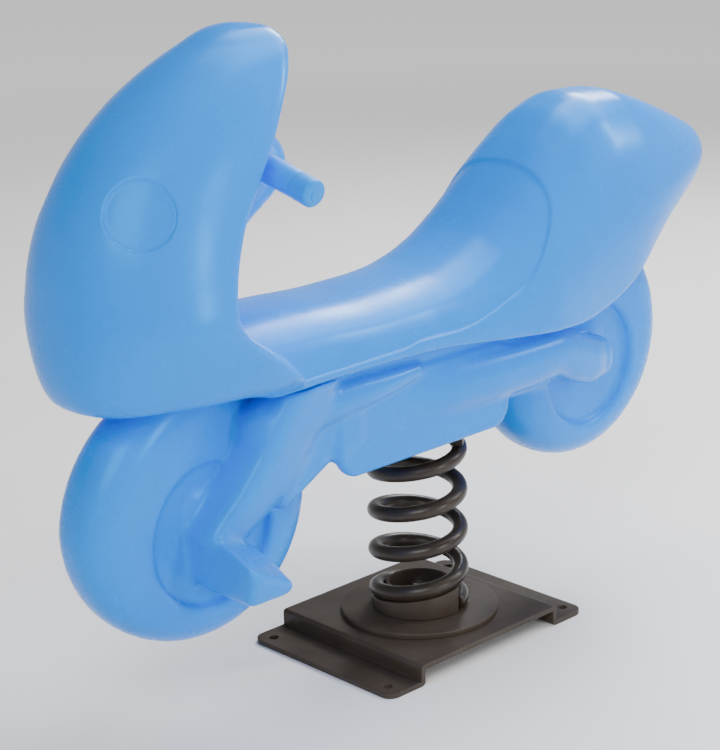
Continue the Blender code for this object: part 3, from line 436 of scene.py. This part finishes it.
def mesh_object(name, verts, faces, normals=None, smooth=True):
    mesh = bpy.data.meshes.new(name)
    verts = np.asarray(verts, np.float32)
    faces = np.asarray(faces, np.int32)
    side = faces.shape[1]
    mesh.vertices.add(len(verts))
    mesh.vertices.foreach_set("co", verts.ravel())
    mesh.loops.add(faces.size)
    mesh.loops.foreach_set("vertex_index", faces.ravel())
    mesh.polygons.add(len(faces))
    mesh.polygons.foreach_set("loop_start", np.arange(len(faces), dtype=np.int32) * side)
    mesh.polygons.foreach_set("loop_total", np.full(len(faces), side, np.int32))
    mesh.update(calc_edges=True)
    mesh.validate()
    if smooth:
        mesh.shade_smooth()
    if normals is not None:
        mesh.normals_split_custom_set_from_vertices([tuple(n) for n in normals])
    obj = bpy.data.objects.new(name, mesh)
    bpy.context.scene.collection.objects.link(obj)
    return obj


def skin(name, field, low, high):
    values, corner = sample(field, low, high, SKIN_STEP)
    verts, faces = net(values, corner, SKIN_STEP)
    verts, normals = settle(field, verts)
    return mesh_object(name, verts, faces, normals)


# ----------------------------------------------------------------------------
# Mesh helpers for the smaller pieces
# ----------------------------------------------------------------------------
def from_bmesh(bm, name, sharp=35.0):
    bmesh.ops.recalc_face_normals(bm, faces=bm.faces)
    mesh = bpy.data.meshes.new(name)
    bm.to_mesh(mesh)
    bm.free()
    obj = bpy.data.objects.new(name, mesh)
    bpy.context.scene.collection.objects.link(obj)
    mesh.shade_smooth()
    mesh.set_sharp_from_angle(angle=math.radians(sharp))
    return obj


def fillet(corners, segments=5):
    """Outline from (u, v, radius) corners, each rounded with its own radius."""
    out = []
    n = len(corners)
    for i in range(n):
        p = Vector(corners[i][:2])
        r = corners[i][2]
        a = Vector(corners[i - 1][:2]) - p
        b = Vector(corners[(i + 1) % n][:2]) - p
        a.normalize()
        b.normalize()
        half = math.acos(max(-1.0, min(1.0, a.dot(b)))) / 2
        if r <= 0 or half > 1.55:
            out.append(p)
            continue
        reach = r / math.tan(half)
        middle = p + (a + b).normalized() * (r / math.sin(half))
        first, last = p + a * reach - middle, p + b * reach - middle
        turn = math.atan2(first.x * last.y - first.y * last.x, first.dot(last))
        for k in range(segments + 1):
            w = turn * k / segments
            c, s = math.cos(w), math.sin(w)
            out.append(middle + Vector((first.x * c - first.y * s, first.x * s + first.y * c)))
    return out


def loft(bm, rings, caps=True, closed=False):
    rows = [[bm.verts.new(p) for p in ring] for ring in rings]
    count = len(rows[0])
    pairs = list(zip(rows, rows[1:]))
    if closed:
        pairs.append((rows[-1], rows[0]))
    for a, b in pairs:
        for i in range(count):
            j = (i + 1) % count
            bm.faces.new((a[i], a[j], b[j], b[i]))
    if caps and not closed:
        bm.faces.new(rows[0])
        bm.faces.new(rows[-1])


def axes(direction):
    w = Vector(direction).normalized()
    u = Vector((0, 1, 0)) if abs(w.y) < 0.9 else Vector((1, 0, 0))
    u = (u - w * u.dot(w)).normalized()
    return u, w.cross(u), w


def lathe(bm, profile, origin, direction=(0, 0, 1), sides=96):
    """Closed outline of (radius, along) turned about a line; a radius of 0 ends in a point."""
    u, v, w = axes(direction)
    origin = Vector(origin)
    rows = []
    for radius, along in profile:
        if radius <= 0:
            rows.append([bm.verts.new(origin + w * along)])
            continue
        rows.append([bm.verts.new(origin + w * along + (u * math.cos(a) + v * math.sin(a)) * radius)
                     for a in (2 * math.pi * k / sides for k in range(sides))])
    ring = profile[0][0] > 0 and profile[-1][0] > 0
    pairs = list(zip(rows, rows[1:])) + ([(rows[-1], rows[0])] if ring else [])
    for a, b in pairs:
        for i in range(sides):
            j = (i + 1) % sides
            if len(a) == 1 and len(b) == 1:
                continue
            if len(a) == 1:
                bm.faces.new((a[0], b[j], b[i]))
            elif len(b) == 1:
                bm.faces.new((a[i], a[j], b[0]))
            else:
                bm.faces.new((a[i], a[j], b[j], b[i]))


def rounded_profile(corners, segments=4):
    return [(p.x, p.y) for p in fillet(corners, segments)]


def prism(bm, outline, z0, z1):
    loft(bm, [[Vector((p[0], p[1], z)) for p in outline] for z in (z0, z1)])


def cut(obj, cutters):
    """Takes the closed solids in the bmesh list away from obj."""
    for bm in cutters:
        tool = from_bmesh(bm, "tool")
        mod = obj.modifiers.new("cut", "BOOLEAN")
        mod.operation, mod.solver, mod.object = "DIFFERENCE", "EXACT", tool
        bpy.context.view_layer.update()
        graph = bpy.context.evaluated_depsgraph_get()
        result = bpy.data.meshes.new_from_object(obj.evaluated_get(graph))
        obj.modifiers.clear()
        old = obj.data
        obj.data = result
        bpy.data.meshes.remove(old)
        mesh = tool.data
        bpy.data.objects.remove(tool, do_unlink=True)
        bpy.data.meshes.remove(mesh)


def soften(obj, width, segments=2, angle=40.0):
    """Small rounds on the sharp edges, with even shading of the flats."""
    bm = bmesh.new()
    bm.from_mesh(obj.data)
    bmesh.ops.remove_doubles(bm, verts=bm.verts, dist=0.00001)
    bmesh.ops.dissolve_limit(bm, angle_limit=math.radians(0.5), verts=bm.verts, edges=bm.edges)
    bm.to_mesh(obj.data)
    bm.free()
    bevel = obj.modifiers.new("edges", "BEVEL")
    bevel.width, bevel.segments, bevel.limit_method = width, segments, "ANGLE"
    bevel.angle_limit = math.radians(angle)
    bevel.harden_normals = False
    bpy.context.view_layer.update()
    graph = bpy.context.evaluated_depsgraph_get()
    result = bpy.data.meshes.new_from_object(obj.evaluated_get(graph))
    obj.modifiers.clear()
    obj.data = result
    obj.data.shade_smooth()
    weighted = obj.modifiers.new("shading", "WEIGHTED_NORMAL")
    weighted.keep_sharp = True


def hexagon_rows(af, levels, x, y, turn=0.0):
    """Six-sided rows whose corners are taken down by a cone; levels are (z, limit)."""
    corner = af / 2.0 / math.cos(math.pi / 6.0)
    rows = []
    for z, limit in levels:
        row = []
        for k in range(24):
            a = math.pi * k / 12.0
            within = (a % (math.pi / 3.0)) - math.pi / 6.0
            r = min(af / 2.0 / math.cos(within), limit, corner)
            row.append(Vector((x + r * math.cos(a + turn), y + r * math.sin(a + turn), z)))
        rows.append(row)
    return rows


def thread(bm, x, y, radius, z0, z1, pitch=0.0015, depth=0.00085):
    """Threaded rod with a chamfered start at z0."""
    sides, per = 20, 6
    step = pitch / per
    count = int(round((z1 - z0) / step))
    rows = []
    for k in range(count + 1):
        z = z0 + k * step
        row = []
        for i in range(sides):
            a = 2 * math.pi * i / sides
            phase = (z / pitch - i / sides) % 1.0
            r = radius - depth * (1 - abs(2 * phase - 1)) * 0.9
            r = min(r, radius - 0.0010 + max(0.0, z - z0))
            row.append(Vector((x + r * math.cos(a), y + r * math.sin(a), z)))
        rows.append(row)
    loft(bm, rows)


# ----------------------------------------------------------------------------
# Finishes
# ----------------------------------------------------------------------------
def new_material(name):
    mat = bpy.data.materials.new(name)
    mat.use_nodes = True
    nodes, links = mat.node_tree.nodes, mat.node_tree.links
    return mat, nodes, links, nodes["Principled BSDF"]


def noise(nodes, links, source, scale, detail=4.0, roughness=0.55, distortion=0.0):
    node = nodes.new("ShaderNodeTexNoise")
    node.inputs["Scale"].default_value = scale
    node.inputs["Detail"].default_value = detail
    node.inputs["Roughness"].default_value = roughness
    node.inputs["Distortion"].default_value = distortion
    links.new(source, node.inputs["Vector"])
    return node.outputs["Fac"]


def ramp(nodes, links, source, stops):
    node = nodes.new("ShaderNodeValToRGB")
    links.new(source, node.inputs["Fac"])
    marks = node.color_ramp.elements
    marks[0].position, marks[0].color = stops[0][0], (*stops[0][1], 1)
    marks[1].position, marks[1].color = stops[-1][0], (*stops[-1][1], 1)
    for position, colour in stops[1:-1]:
        mark = marks.new(position)
        mark.color = (*colour, 1)
    return node.outputs["Color"]


def spread(nodes, links, source, low, high, start=0.3, end=0.7):
    node = nodes.new("ShaderNodeMapRange")
    node.inputs["From Min"].default_value = start
    node.inputs["From Max"].default_value = end
    node.inputs["To Min"].default_value = low
    node.inputs["To Max"].default_value = high
    links.new(source, node.inputs["Value"])
    return node.outputs["Result"]


def bump(nodes, links, heights):
    """heights are (source, strength, distance); returns the last normal."""
    last = None
    for source, strength, distance in heights:
        node = nodes.new("ShaderNodeBump")
        node.inputs["Strength"].default_value = strength
        node.inputs["Distance"].default_value = distance
        links.new(source, node.inputs["Height"])
        if last is not None:
            links.new(last, node.inputs["Normal"])
        last = node.outputs["Normal"]
    return last


def place(nodes):
    return nodes.new("ShaderNodeTexCoord").outputs["Object"]


def moulded(name, deep, mid, light, rough):
    """Glossy rotation-moulded plastic: slow colour drift, waxy orange peel."""
    mat, nodes, links, bsdf = new_material(name)
    at = place(nodes)
    slow = noise(nodes, links, at, 5.0, 3.0, 0.5)
    links.new(ramp(nodes, links, slow, ((0.30, deep), (0.5, mid), (0.72, light))), bsdf.inputs["Base Color"])
    patch = noise(nodes, links, at, 26.0, 5.0, 0.6)
    links.new(spread(nodes, links, patch, rough[0], rough[1]), bsdf.inputs["Roughness"])
    peel = noise(nodes, links, at, 260.0, 2.0, 0.5)
    wave = noise(nodes, links, at, 20.0, 2.0, 0.4)
    links.new(bump(nodes, links, ((wave, 0.20, 0.0012), (peel, 0.10, 0.00022))), bsdf.inputs["Normal"])
    bsdf.inputs["Specular IOR Level"].default_value = 0.46
    bsdf.inputs["Specular Tint"].default_value = (0.02, 0.50, 1.0, 1.0)
    return mat


def coated(name, dark, mid, worn, rough, flecks, shine):
    """Brown powder coat over steel, slightly mottled and dusty."""
    mat, nodes, links, bsdf = new_material(name)
    at = place(nodes)
    slow = noise(nodes, links, at, 14.0, 6.0, 0.62, 0.3)
    links.new(ramp(nodes, links, slow, ((0.28, dark), (0.52, mid), (0.80, worn))), bsdf.inputs["Base Color"])
    patch = noise(nodes, links, at, 48.0, 6.0, 0.65)
    links.new(spread(nodes, links, patch, rough[0], rough[1]), bsdf.inputs["Roughness"])
    grain = noise(nodes, links, at, flecks, 3.0, 0.6)
    dents = noise(nodes, links, at, 60.0, 3.0, 0.5)
    links.new(bump(nodes, links, ((dents, 0.18, 0.0005), (grain, 0.22, 0.00012))), bsdf.inputs["Normal"])
    bsdf.inputs["Specular IOR Level"].default_value = shine
    return mat


def metal(name, dark, light, rough, streak):
    mat, nodes, links, bsdf = new_material(name)
    at = place(nodes)
    slow = noise(nodes, links, at, 90.0, 5.0, 0.6)
    links.new(ramp(nodes, links, slow, ((0.30, dark), (0.72, light))), bsdf.inputs["Base Color"])
    links.new(spread(nodes, links, noise(nodes, links, at, 160.0, 4.0, 0.6), rough[0], rough[1]),
              bsdf.inputs["Roughness"])
    links.new(bump(nodes, links, ((noise(nodes, links, at, streak, 3.0, 0.6), 0.12, 0.00008),)),
              bsdf.inputs["Normal"])
    bsdf.inputs["Metallic"].default_value = 1.0
    return mat


BLUE = moulded("blue_plastic", (0.0, 0.242, 0.880), (0.0, 0.259, 0.915), (0.0, 0.276, 0.945), (0.22, 0.30))
GRIP = moulded("grip_plastic", (0.0, 0.242, 0.810), (0.0, 0.258, 0.845), (0.0, 0.274, 0.880), (0.31, 0.41))
STEEL = coated("coated_steel", (0.040, 0.0295, 0.0220), (0.054, 0.0405, 0.0305), (0.078, 0.060, 0.046), (0.34, 0.46), 700.0, 0.22)
SPRING = coated("spring_steel", (0.024, 0.0170, 0.0125), (0.034, 0.0250, 0.0185), (0.056, 0.042, 0.032), (0.28, 0.42), 650.0, 0.36)
ZINC = metal("zinc_steel", (0.42, 0.42, 0.43), (0.66, 0.66, 0.67), (0.28, 0.44), 900.0)
BRASS = metal("brass", (0.52, 0.36, 0.14), (0.74, 0.54, 0.24), (0.26, 0.40), 800.0)


def wear(obj, mat, body, slot, *nodes):
    """Finish, body, slot (not used) and the solids that the piece stands for."""
    obj.data.materials.clear()
    obj.data.materials.append(mat)
    if body:
        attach(obj, body)
    if nodes:
        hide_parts(*nodes)
    return obj


# ----------------------------------------------------------------------------
# Body
# ----------------------------------------------------------------------------
upper = skin("upper_moulding", upper_skin, (0, -0.500, 0.346), (0.124, 0.500, 0.742))
wear(upper, BLUE, "rider", "blue_plastic", "upper_body_shell")
lower = skin("lower_moulding", lower_skin, (0, -0.492, 0.096), (0.142, 0.415, 0.456))
wear(lower, BLUE, "rider", "blue_plastic", "lower_body_shell")


# ----------------------------------------------------------------------------
# Handlebar
# ----------------------------------------------------------------------------
BAR_Y, BAR_Z, BAR_R, BAR_BEND, BAR_DROOP = -0.256, 0.606, 0.011, 0.0245, 14.5


def bar_point(x):
    drop_rate, ease = math.tan(math.radians(BAR_DROOP)), 0.010
    a = abs(x) - BAR_BEND
    fall = 0.0 if a <= -ease else a if a >= ease else (a + ease) ** 2 / (4.0 * ease)
    return Vector((x, BAR_Y, BAR_Z - drop_rate * fall))


def bar_tube():
    bm = bmesh.new()
    rings = []
    for x in np.linspace(-0.1215, 0.1215, 121):
        d = (bar_point(x + 0.0005) - bar_point(x - 0.0005)).normalized()
        u = Vector((0, 1, 0))
        v = u.cross(d).normalized()
        rings.append([bar_point(x) + (u * math.cos(a) + v * math.sin(a)) * BAR_R
                      for a in (2 * math.pi * k / 48 for k in range(48))])
    loft(bm, rings)
    return from_bmesh(bm, "bar_tube")


wear(bar_tube(), ZINC, "rider", "zinc_steel", "handlebar_tube")

for side, label in ((1, "left"), (-1, "right")):
    start = bar_point(side * 0.046)
    d = (bar_point(side * 0.1272) - start)
    d.normalize()
    k = 1.0 / d.x if side > 0 else -1.0 / d.x        # length along the bar per metre of x
    length, cap_start, cap_end = (0.103 - 0.046) * k, (0.1033 - 0.046) * k, (0.1272 - 0.046) * k
    bm = bmesh.new()
    lathe(bm, rounded_profile([
        (0.0112, 0.0, 0.0005), (0.0112, length, 0.0), (0.0143, length, 0.0006),
        (0.0146, length * 0.55, 0.03), (0.0148, 0.0, 0.0022)]), start, d, 64)
    grip = from_bmesh(bm, label + "_grip_sleeve")
    wear(grip, GRIP, "rider", "grip_plastic", label + "_grip")
    bm = bmesh.new()
    lathe(bm, [(0.0, cap_start)] + [(p.x, p.y) for p in fillet([
        (0.0002, cap_start, 0.0), (0.0146, cap_start, 0.0008), (0.0144, cap_end, 0.0046),
        (0.0062, cap_end - 0.0002, 0.0008), (0.0056, cap_end + 0.0012, 0.0010),
        (0.0002, cap_end + 0.0014, 0.0)], 6)[1:-1]] + [(0.0, cap_end + 0.0014)], start, d, 64)
    cap = from_bmesh(bm, label + "_grip_end")
    wear(cap, GRIP, "rider", "grip_plastic", label + "_grip_cap")


# ----------------------------------------------------------------------------
# Spring: one wire, in stretches that hand over to each other without a step
# ----------------------------------------------------------------------------
def coil_height(angle):
    rate, e = PITCH / 360.0, COIL_EASE

    def eased(a):
        return 0.0 if a <= -e else a if a >= e else (a + e) ** 2 / (4.0 * e)
    return COIL_Z0 + rate * (eased(angle - COIL_LEVEL_LOW) - eased(angle - COIL_LEVEL_HIGH))


def coil_point(angle):
    a = math.radians(angle)
    return Vector((COIL_R * math.cos(a), COIL_R * math.sin(a), coil_height(angle)))


def coil_piece(name, start, end, cap_start=False, cap_end=False):
    sides = 40
    count = max(4, int(round((end - start) / (3.0))) + 1)
    verts, normals, faces = [], [], []
    stops = [(start + (end - start) * k / (count - 1), 1.0) for k in range(count)]
    per_degree = math.degrees(1.0 / COIL_R)
    if cap_start:
        stops = [(start, 0.80), (start + 0.0004 * per_degree, 0.93), (start + 0.0012 * per_degree, 1.0)] + stops[1:]
    if cap_end:
        stops = stops[:-1] + [(end - 0.0012 * per_degree, 1.0), (end - 0.0004 * per_degree, 0.93), (end, 0.80)]
    for angle, share in stops:
        d = (coil_point(angle + 0.5) - coil_point(angle - 0.5)).normalized()
        a = math.radians(angle)
        radial = Vector((math.cos(a), math.sin(a), 0.0))
        up = radial.cross(d).normalized()
        if up.z < 0:
            up = -up
        for i in range(sides):
            w = 2 * math.pi * i / sides
            n = radial * math.cos(w) + up * math.sin(w)
            verts.append(coil_point(angle) + n * WIRE_R * share)
            normals.append(n)
    rows = len(stops)
    for r in range(rows - 1):
        for i in range(sides):
            j = (i + 1) % sides
            faces.append((r * sides + i, (r + 1) * sides + i, (r + 1) * sides + j, r * sides + j))
    if cap_start or cap_end:
        bm = bmesh.new()
        vs = [bm.verts.new(v) for v in verts]
        for f in faces:
            bm.faces.new([vs[i] for i in f])
        if cap_start:
            bm.faces.new(vs[:sides])
        if cap_end:
            bm.faces.new(vs[-sides:])
        return from_bmesh(bm, name, 50.0)
    return mesh_object(name, verts, faces, normals)


NODES = ("spring_lower_end", "spring_turn_1", "spring_turn_2", "spring_turn_3", "spring_upper_end")
BODIES = ("base", "spring_bounce_part", "spring_pitch_part", "spring_roll_part", "rider")
BENDS = (375.0, 677.0, 979.0, 1281.0)                  # where each half turn between two held stretches begins
edge = COIL_START
for k, body in enumerate(BODIES):
    end = BENDS[k] if k < 4 else COIL_END
    turn = coil_piece("coil_%d_held" % (k + 1), edge, end, k == 0, k == 4)
    wear(turn, SPRING, body, "spring_steel", NODES[k])
    if k < 4:
        edge = end + 180.0
        bend = coil_piece("coil_%d_bending" % (k + 1), end, edge)
        bend.data.materials.append(SPRING)
        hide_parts(NODES[k], NODES[k + 1])
        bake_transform(bend)


# ----------------------------------------------------------------------------
# Base plate, disc and spring seats
# ----------------------------------------------------------------------------
def base_plate():
    t, top, y0, y1 = 0.006, 0.025, 0.113, 0.162
    outline = fillet([
        (-y1, 0.0, 0.0), (-y0 + t, 0.0, 0.0055), (-y0 + t, top - t, 0.0012), (y0 - t, top - t, 0.0012),
        (y0 - t, 0.0, 0.0055), (y1, 0.0, 0.0), (y1, t, 0.0), (y0, t, 0.0012), (y0, top, 0.0045),
        (-y0, top, 0.0045), (-y0, t, 0.0012), (-y1, t, 0.0)], 5)
    bm = bmesh.new()
    loft(bm, [[Vector((x, p.x, p.y)) for p in outline] for x in (-0.115, 0.115)])
    plate = from_bmesh(bm, "base_sheet")
    cutters = []
    for sx in (-1, 1):
        for sy in (-1, 1):
            hole = bmesh.new()
            lathe(hole, [(0.0, -0.01), (0.0055, -0.01), (0.0055, 0.012), (0.0, 0.012)],
                  (sx * 0.095, sy * 0.146, 0), sides=40)
            cutters.append(hole)
            corner = bmesh.new()
            r = 0.014
            cx, cy = sx * (0.115 - r), sy * (0.162 - r)
            outline = [(sx * 0.130, sy * 0.177), (sx * 0.130, cy), (sx * 0.115, cy)]
            outline += [(cx + sx * r * math.cos(a), cy + sy * r * math.sin(a))
                        for a in (math.radians(7.5 * k) for k in range(1, 12))]
            outline += [(cx, sy * 0.162), (cx, sy * 0.177)]
            prism(corner, outline, -0.01, 0.012)
            cutters.append(corner)
    cut(plate, cutters)
    soften(plate, 0.0006)
    return plate


wear(base_plate(), STEEL, "base", "coated_steel", "base_plate")

bm = bmesh.new()
lathe(bm, [(0.0, 0.0253)] + rounded_profile([
    (0.0002, 0.0253, 0.0), (0.092, 0.0253, 0.0004), (0.092, 0.0318, 0.0016), (0.0002, 0.0318, 0.0)])[1:-1]
    + [(0.0, 0.0318)], (0, 0, 0), sides=160)
disc = from_bmesh(bm, "seat_disc")
wear(disc, STEEL, "base", "coated_steel", "spring_seat_disc")


def ramp_seat(name, start, end, under, z_flat):
    bm = bmesh.new()
    rings = []
    count = 60
    for k in range(count):
        angle = start + (end - start) * k / (count - 1)
        a = math.radians(angle)
        if under:
            z0, z1 = z_flat, coil_height(angle) - WIRE_R - 0.0005
        else:
            z0, z1 = coil_height(angle) + WIRE_R + 0.0005, z_flat
        r = min(0.0012, (z1 - z0) * 0.3)
        section = fillet([(0.041, z0, r), (0.0555, z0, r), (0.0555, z1, r), (0.041, z1, r)], 3)
        rings.append([Vector((p.x * math.cos(a), p.x * math.sin(a), p.y)) for p in section])
    loft(bm, rings)
    return from_bmesh(bm, name, 50.0)


wear(ramp_seat("lower_ramp", 160.0, 370.0, True, 0.0321), STEEL, "base", "coated_steel", "lower_spring_seat")
wear(ramp_seat("upper_ramp", 1467.0, 1677.0, False, 0.2620), STEEL, "rider", "coated_steel", "upper_spring_seat")


def cup(name, z_floor, z_rim, body, node):
    up = 1.0 if z_rim > z_floor else -1.0
    tall = abs(z_rim - z_floor)
    bm = bmesh.new()
    lathe(bm, [(0.0, 0.0)] + rounded_profile([
        (0.0002, 0.0, 0.0), (0.0385, 0.0, 0.0015), (0.0385, tall, 0.0014), (0.0345, tall, 0.0014),
        (0.0345, 0.005, 0.0030), (0.0002, 0.005, 0.0)])[1:-1] + [(0.0, 0.005)],
        (0, 0, z_floor), (0, 0, up), 112)
    wear(from_bmesh(bm, name, 50.0), STEEL, body, "coated_steel", node)


cup("lower_cup", 0.0321, 0.060, "base", "lower_spring_cup")
cup("upper_cup", 0.2620, 0.236, "rider", "upper_spring_cup")


# ----------------------------------------------------------------------------
# Mounting plate and fasteners
# ----------------------------------------------------------------------------
bm = bmesh.new()
prism(bm, fillet([(-0.062, -0.062, 0.006), (0.062, -0.062, 0.006), (0.062, 0.062, 0.006), (-0.062, 0.062, 0.006)], 6),
      0.2623, 0.2683)
plate = from_bmesh(bm, "body_plate")
soften(plate, 0.0008)
wear(plate, STEEL, "rider", "coated_steel", "body_mounting_plate")


def washer(name, x, y, z0, z1, outer, body, node):
    bm = bmesh.new()
    lathe(bm, rounded_profile([(0.0056, z0, 0.0003), (outer, z0, 0.0004), (outer, z1, 0.0005), (0.0056, z1, 0.0003)], 2),
          (x, y, 0), sides=48)
    wear(from_bmesh(bm, name), ZINC, body, "zinc_steel", node)


def bolt(name, x, y, af, face, top, shank, tip, body, node, turn):
    """Hexagon bolt: face is where the head bears, top its far side."""
    up = 1.0 if top > face else -1.0
    bm = bmesh.new()
    lip = af / 2.0 - 0.0002
    loft(bm, hexagon_rows(af, ((face + up * 0.0003, lip), (face + up * 0.0006, 9.0), (top - up * 0.0009, 9.0),
                               (top - up * 0.0004, af / 2.0 + 0.0003), (top - up * 0.0001, af / 2.0 - 0.0007),
                               (top, af / 2.0 - 0.0014)), x, y, turn))
    z0, z1 = sorted((tip, face + up * 0.0006))
    if up > 0:
        thread(bm, x, y, shank, z0, z1)
    else:
        lathe(bm, [(0.0, z0), (shank, z0), (shank, z1 - 0.001), (shank - 0.001, z1), (0.0, z1)], (x, y, 0), sides=32)
    wear(from_bmesh(bm, name, 30.0), ZINC, body, "zinc_steel", node)


def nut(name, x, y, af, bore, z0, z1, body, node, turn):
    bm = bmesh.new()
    rows = hexagon_rows(af, ((z0, af / 2.0 - 0.0006), (z0 + 0.0007, 9.0), (z1 - 0.0007, 9.0), (z1, af / 2.0 - 0.0006)),
                        x, y, turn)
    inner = [[Vector((x + r * math.cos(math.pi * k / 12 + turn), y + r * math.sin(math.pi * k / 12 + turn), z))
              for k in range(24)] for r, z in ((bore + 0.0006, z1), (bore, z1 - 0.0006), (bore, z0 + 0.0006), (bore + 0.0006, z0))]
    loft(bm, rows + inner, closed=True)
    wear(from_bmesh(bm, name, 30.0), ZINC, body, "zinc_steel", node)


for k, (sx, sy) in enumerate(CORNERS, start=1):
    x, y, turn = sx * 0.017, sy * 0.017, 0.37 * k
    washer("base_washer_disc_%d" % k, x, y, 0.0374, 0.0394, 0.0098, "base", "base_washer_%d" % k)
    bolt("base_hex_bolt_%d" % k, x, y, 0.017, 0.0397, 0.0464, 0.005, 0.0085, "base", "base_bolt_%d" % k, turn)
    nut("base_hex_nut_%d" % k, x, y, 0.017, 0.0053, 0.0107, 0.0187, "base", "base_nut_%d" % k, 0.2 + 0.55 * k)
    x, y = sx * BODY_BOLT[0], sy * BODY_BOLT[1]
    washer("body_washer_disc_%d" % k, x, y, 0.2600, 0.2620, 0.0100, "rider", "body_washer_%d" % k)
    bolt("body_hex_bolt_%d" % k, x, y, 0.017, 0.2597, 0.2530, 0.005, 0.390, "rider", "body_bolt_%d" % k, 0.5 * k)
for k, (x, y, head, tip) in enumerate(SHELL_BOLTS, start=1):
    bolt("shell_hex_bolt_%d" % k, x, y, 0.013, head, head - 0.0053, 0.004, tip, "rider", "shell_bolt_%d" % k, 0.8 * k)

for name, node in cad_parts.items():
    if not node.hide_render:
        node.data.materials.clear()
        node.data.materials.append(BRASS)


# ----------------------------------------------------------------------------
# Studio: pale floor, soft lights, camera
# ----------------------------------------------------------------------------
def studio_floor():
    """Round pale floor, the same from every side; its far part glows softly."""
    bm = bmesh.new()
    rings = []
    for radius in (0.35, 0.8, 1.4, 2.2, 3.4, 5.5, 9.0, 16.0):
        rings.append([bm.verts.new((radius * math.cos(a), radius * math.sin(a), 0.0))
                      for a in (2 * math.pi * k / 96 for k in range(96))])
    bm.faces.new(rings[0])
    for a, b in zip(rings, rings[1:]):
        for k in range(96):
            n = (k + 1) % 96
            bm.faces.new((a[k], b[k], b[n], a[n]))
    floor = from_bmesh(bm, "floor", 60.0)
    if floor.data.polygons[0].normal.z < 0:
        floor.data.flip_normals()
    mat, nodes, links, bsdf = new_material("pale_floor")
    at = place(nodes)
    cloud = noise(nodes, links, at, 1.3, 3.0, 0.5)
    links.new(ramp(nodes, links, cloud, ((0.30, (0.90, 0.90, 0.90)), (0.70, (0.93, 0.93, 0.93)))),
              bsdf.inputs["Base Color"])
    links.new(spread(nodes, links, cloud, 0.55, 0.70), bsdf.inputs["Roughness"])
    grain = noise(nodes, links, at, 300.0, 2.0, 0.5)
    links.new(bump(nodes, links, ((grain, 0.03, 0.0002),)), bsdf.inputs["Normal"])
    away = nodes.new("ShaderNodeVectorMath")
    away.operation = "LENGTH"
    links.new(at, away.inputs[0])
    bsdf.inputs["Emission Color"].default_value = (1.0, 1.0, 1.0, 1.0)
    links.new(spread(nodes, links, away.outputs["Value"], 0.02, 0.62, 1.1, 4.6), bsdf.inputs["Emission Strength"])
    floor.data.materials.append(mat)


studio_floor()


def lamp(name, azimuth, elevation, distance, size, power, colour=(1.0, 1.0, 1.0)):
    """Soft rectangular light that faces the middle of the object; azimuth 0 is ahead of
    the nose and 90 on the rider's left."""
    light = bpy.data.lights.new(name, "AREA")
    light.shape = "RECTANGLE"
    light.size, light.size_y = size
    light.energy = power
    light.color = colour
    obj = bpy.data.objects.new(name, light)
    bpy.context.scene.collection.objects.link(obj)
    a, e = math.radians(azimuth), math.radians(elevation)
    out = Vector((math.sin(a) * math.cos(e), -math.cos(a) * math.cos(e), math.sin(e)))
    obj.location = Vector((0.0, -0.02, 0.38)) + out * distance
    obj.rotation_mode = "QUATERNION"
    obj.rotation_quaternion = (-out).to_track_quat("-Z", "Y")
    return obj


lamp("top_softbox", 185, 62, 2.5, (2.0, 1.9), 78.0, (1.0, 0.998, 0.99))
lamp("rear_softbox", 205, 36, 2.6, (0.9, 0.7), 40.0)
lamp("side_softbox", 98, 13, 2.4, (0.16, 0.8), 17.0, (1.0, 0.998, 0.99))
lamp("rear_strip", 148, 30, 2.4, (0.20, 0.9), 20.0)
lamp("front_fill", 38, 34, 2.9, (1.5, 1.4), 50.0)

world = bpy.data.worlds.new("studio")
bpy.context.scene.world = world
world.use_nodes = True
back = world.node_tree.nodes["Background"]
back.inputs["Color"].default_value = (0.98, 0.985, 1.0, 1.0)
sky_nodes, sky_links = world.node_tree.nodes, world.node_tree.links
height = sky_nodes.new("ShaderNodeSeparateXYZ")
sky_links.new(sky_nodes.new("ShaderNodeTexCoord").outputs["Generated"], height.inputs["Vector"])
sky_links.new(spread(sky_nodes, sky_links, height.outputs["Z"], 0.62, 0.10, 0.16, 0.40), back.inputs["Strength"])

camera_data = bpy.data.cameras.new("camera")
camera_data.lens, camera_data.sensor_width = 96.0, 36.0
camera_data.clip_start, camera_data.clip_end = 0.05, 50.0
camera = bpy.data.objects.new("camera", camera_data)
bpy.context.scene.collection.objects.link(camera)
bpy.context.scene.camera = camera
az, el, roll = (math.radians(v) for v in (46.812, 17.111, -1.722))
back_dir = Vector((math.sin(az) * math.cos(el), -math.cos(az) * math.cos(el), math.sin(el)))
right = Vector((math.cos(az), math.sin(az), 0))
above = back_dir.cross(right)
right_rolled = right * math.cos(roll) + above * math.sin(roll)
above_rolled = above * math.cos(roll) - right * math.sin(roll)
turned = Matrix((right_rolled, above_rolled, back_dir)).transposed()
camera.matrix_world = Matrix.Translation((1.5411, -1.5315, 0.9819)) @ turned.to_4x4()
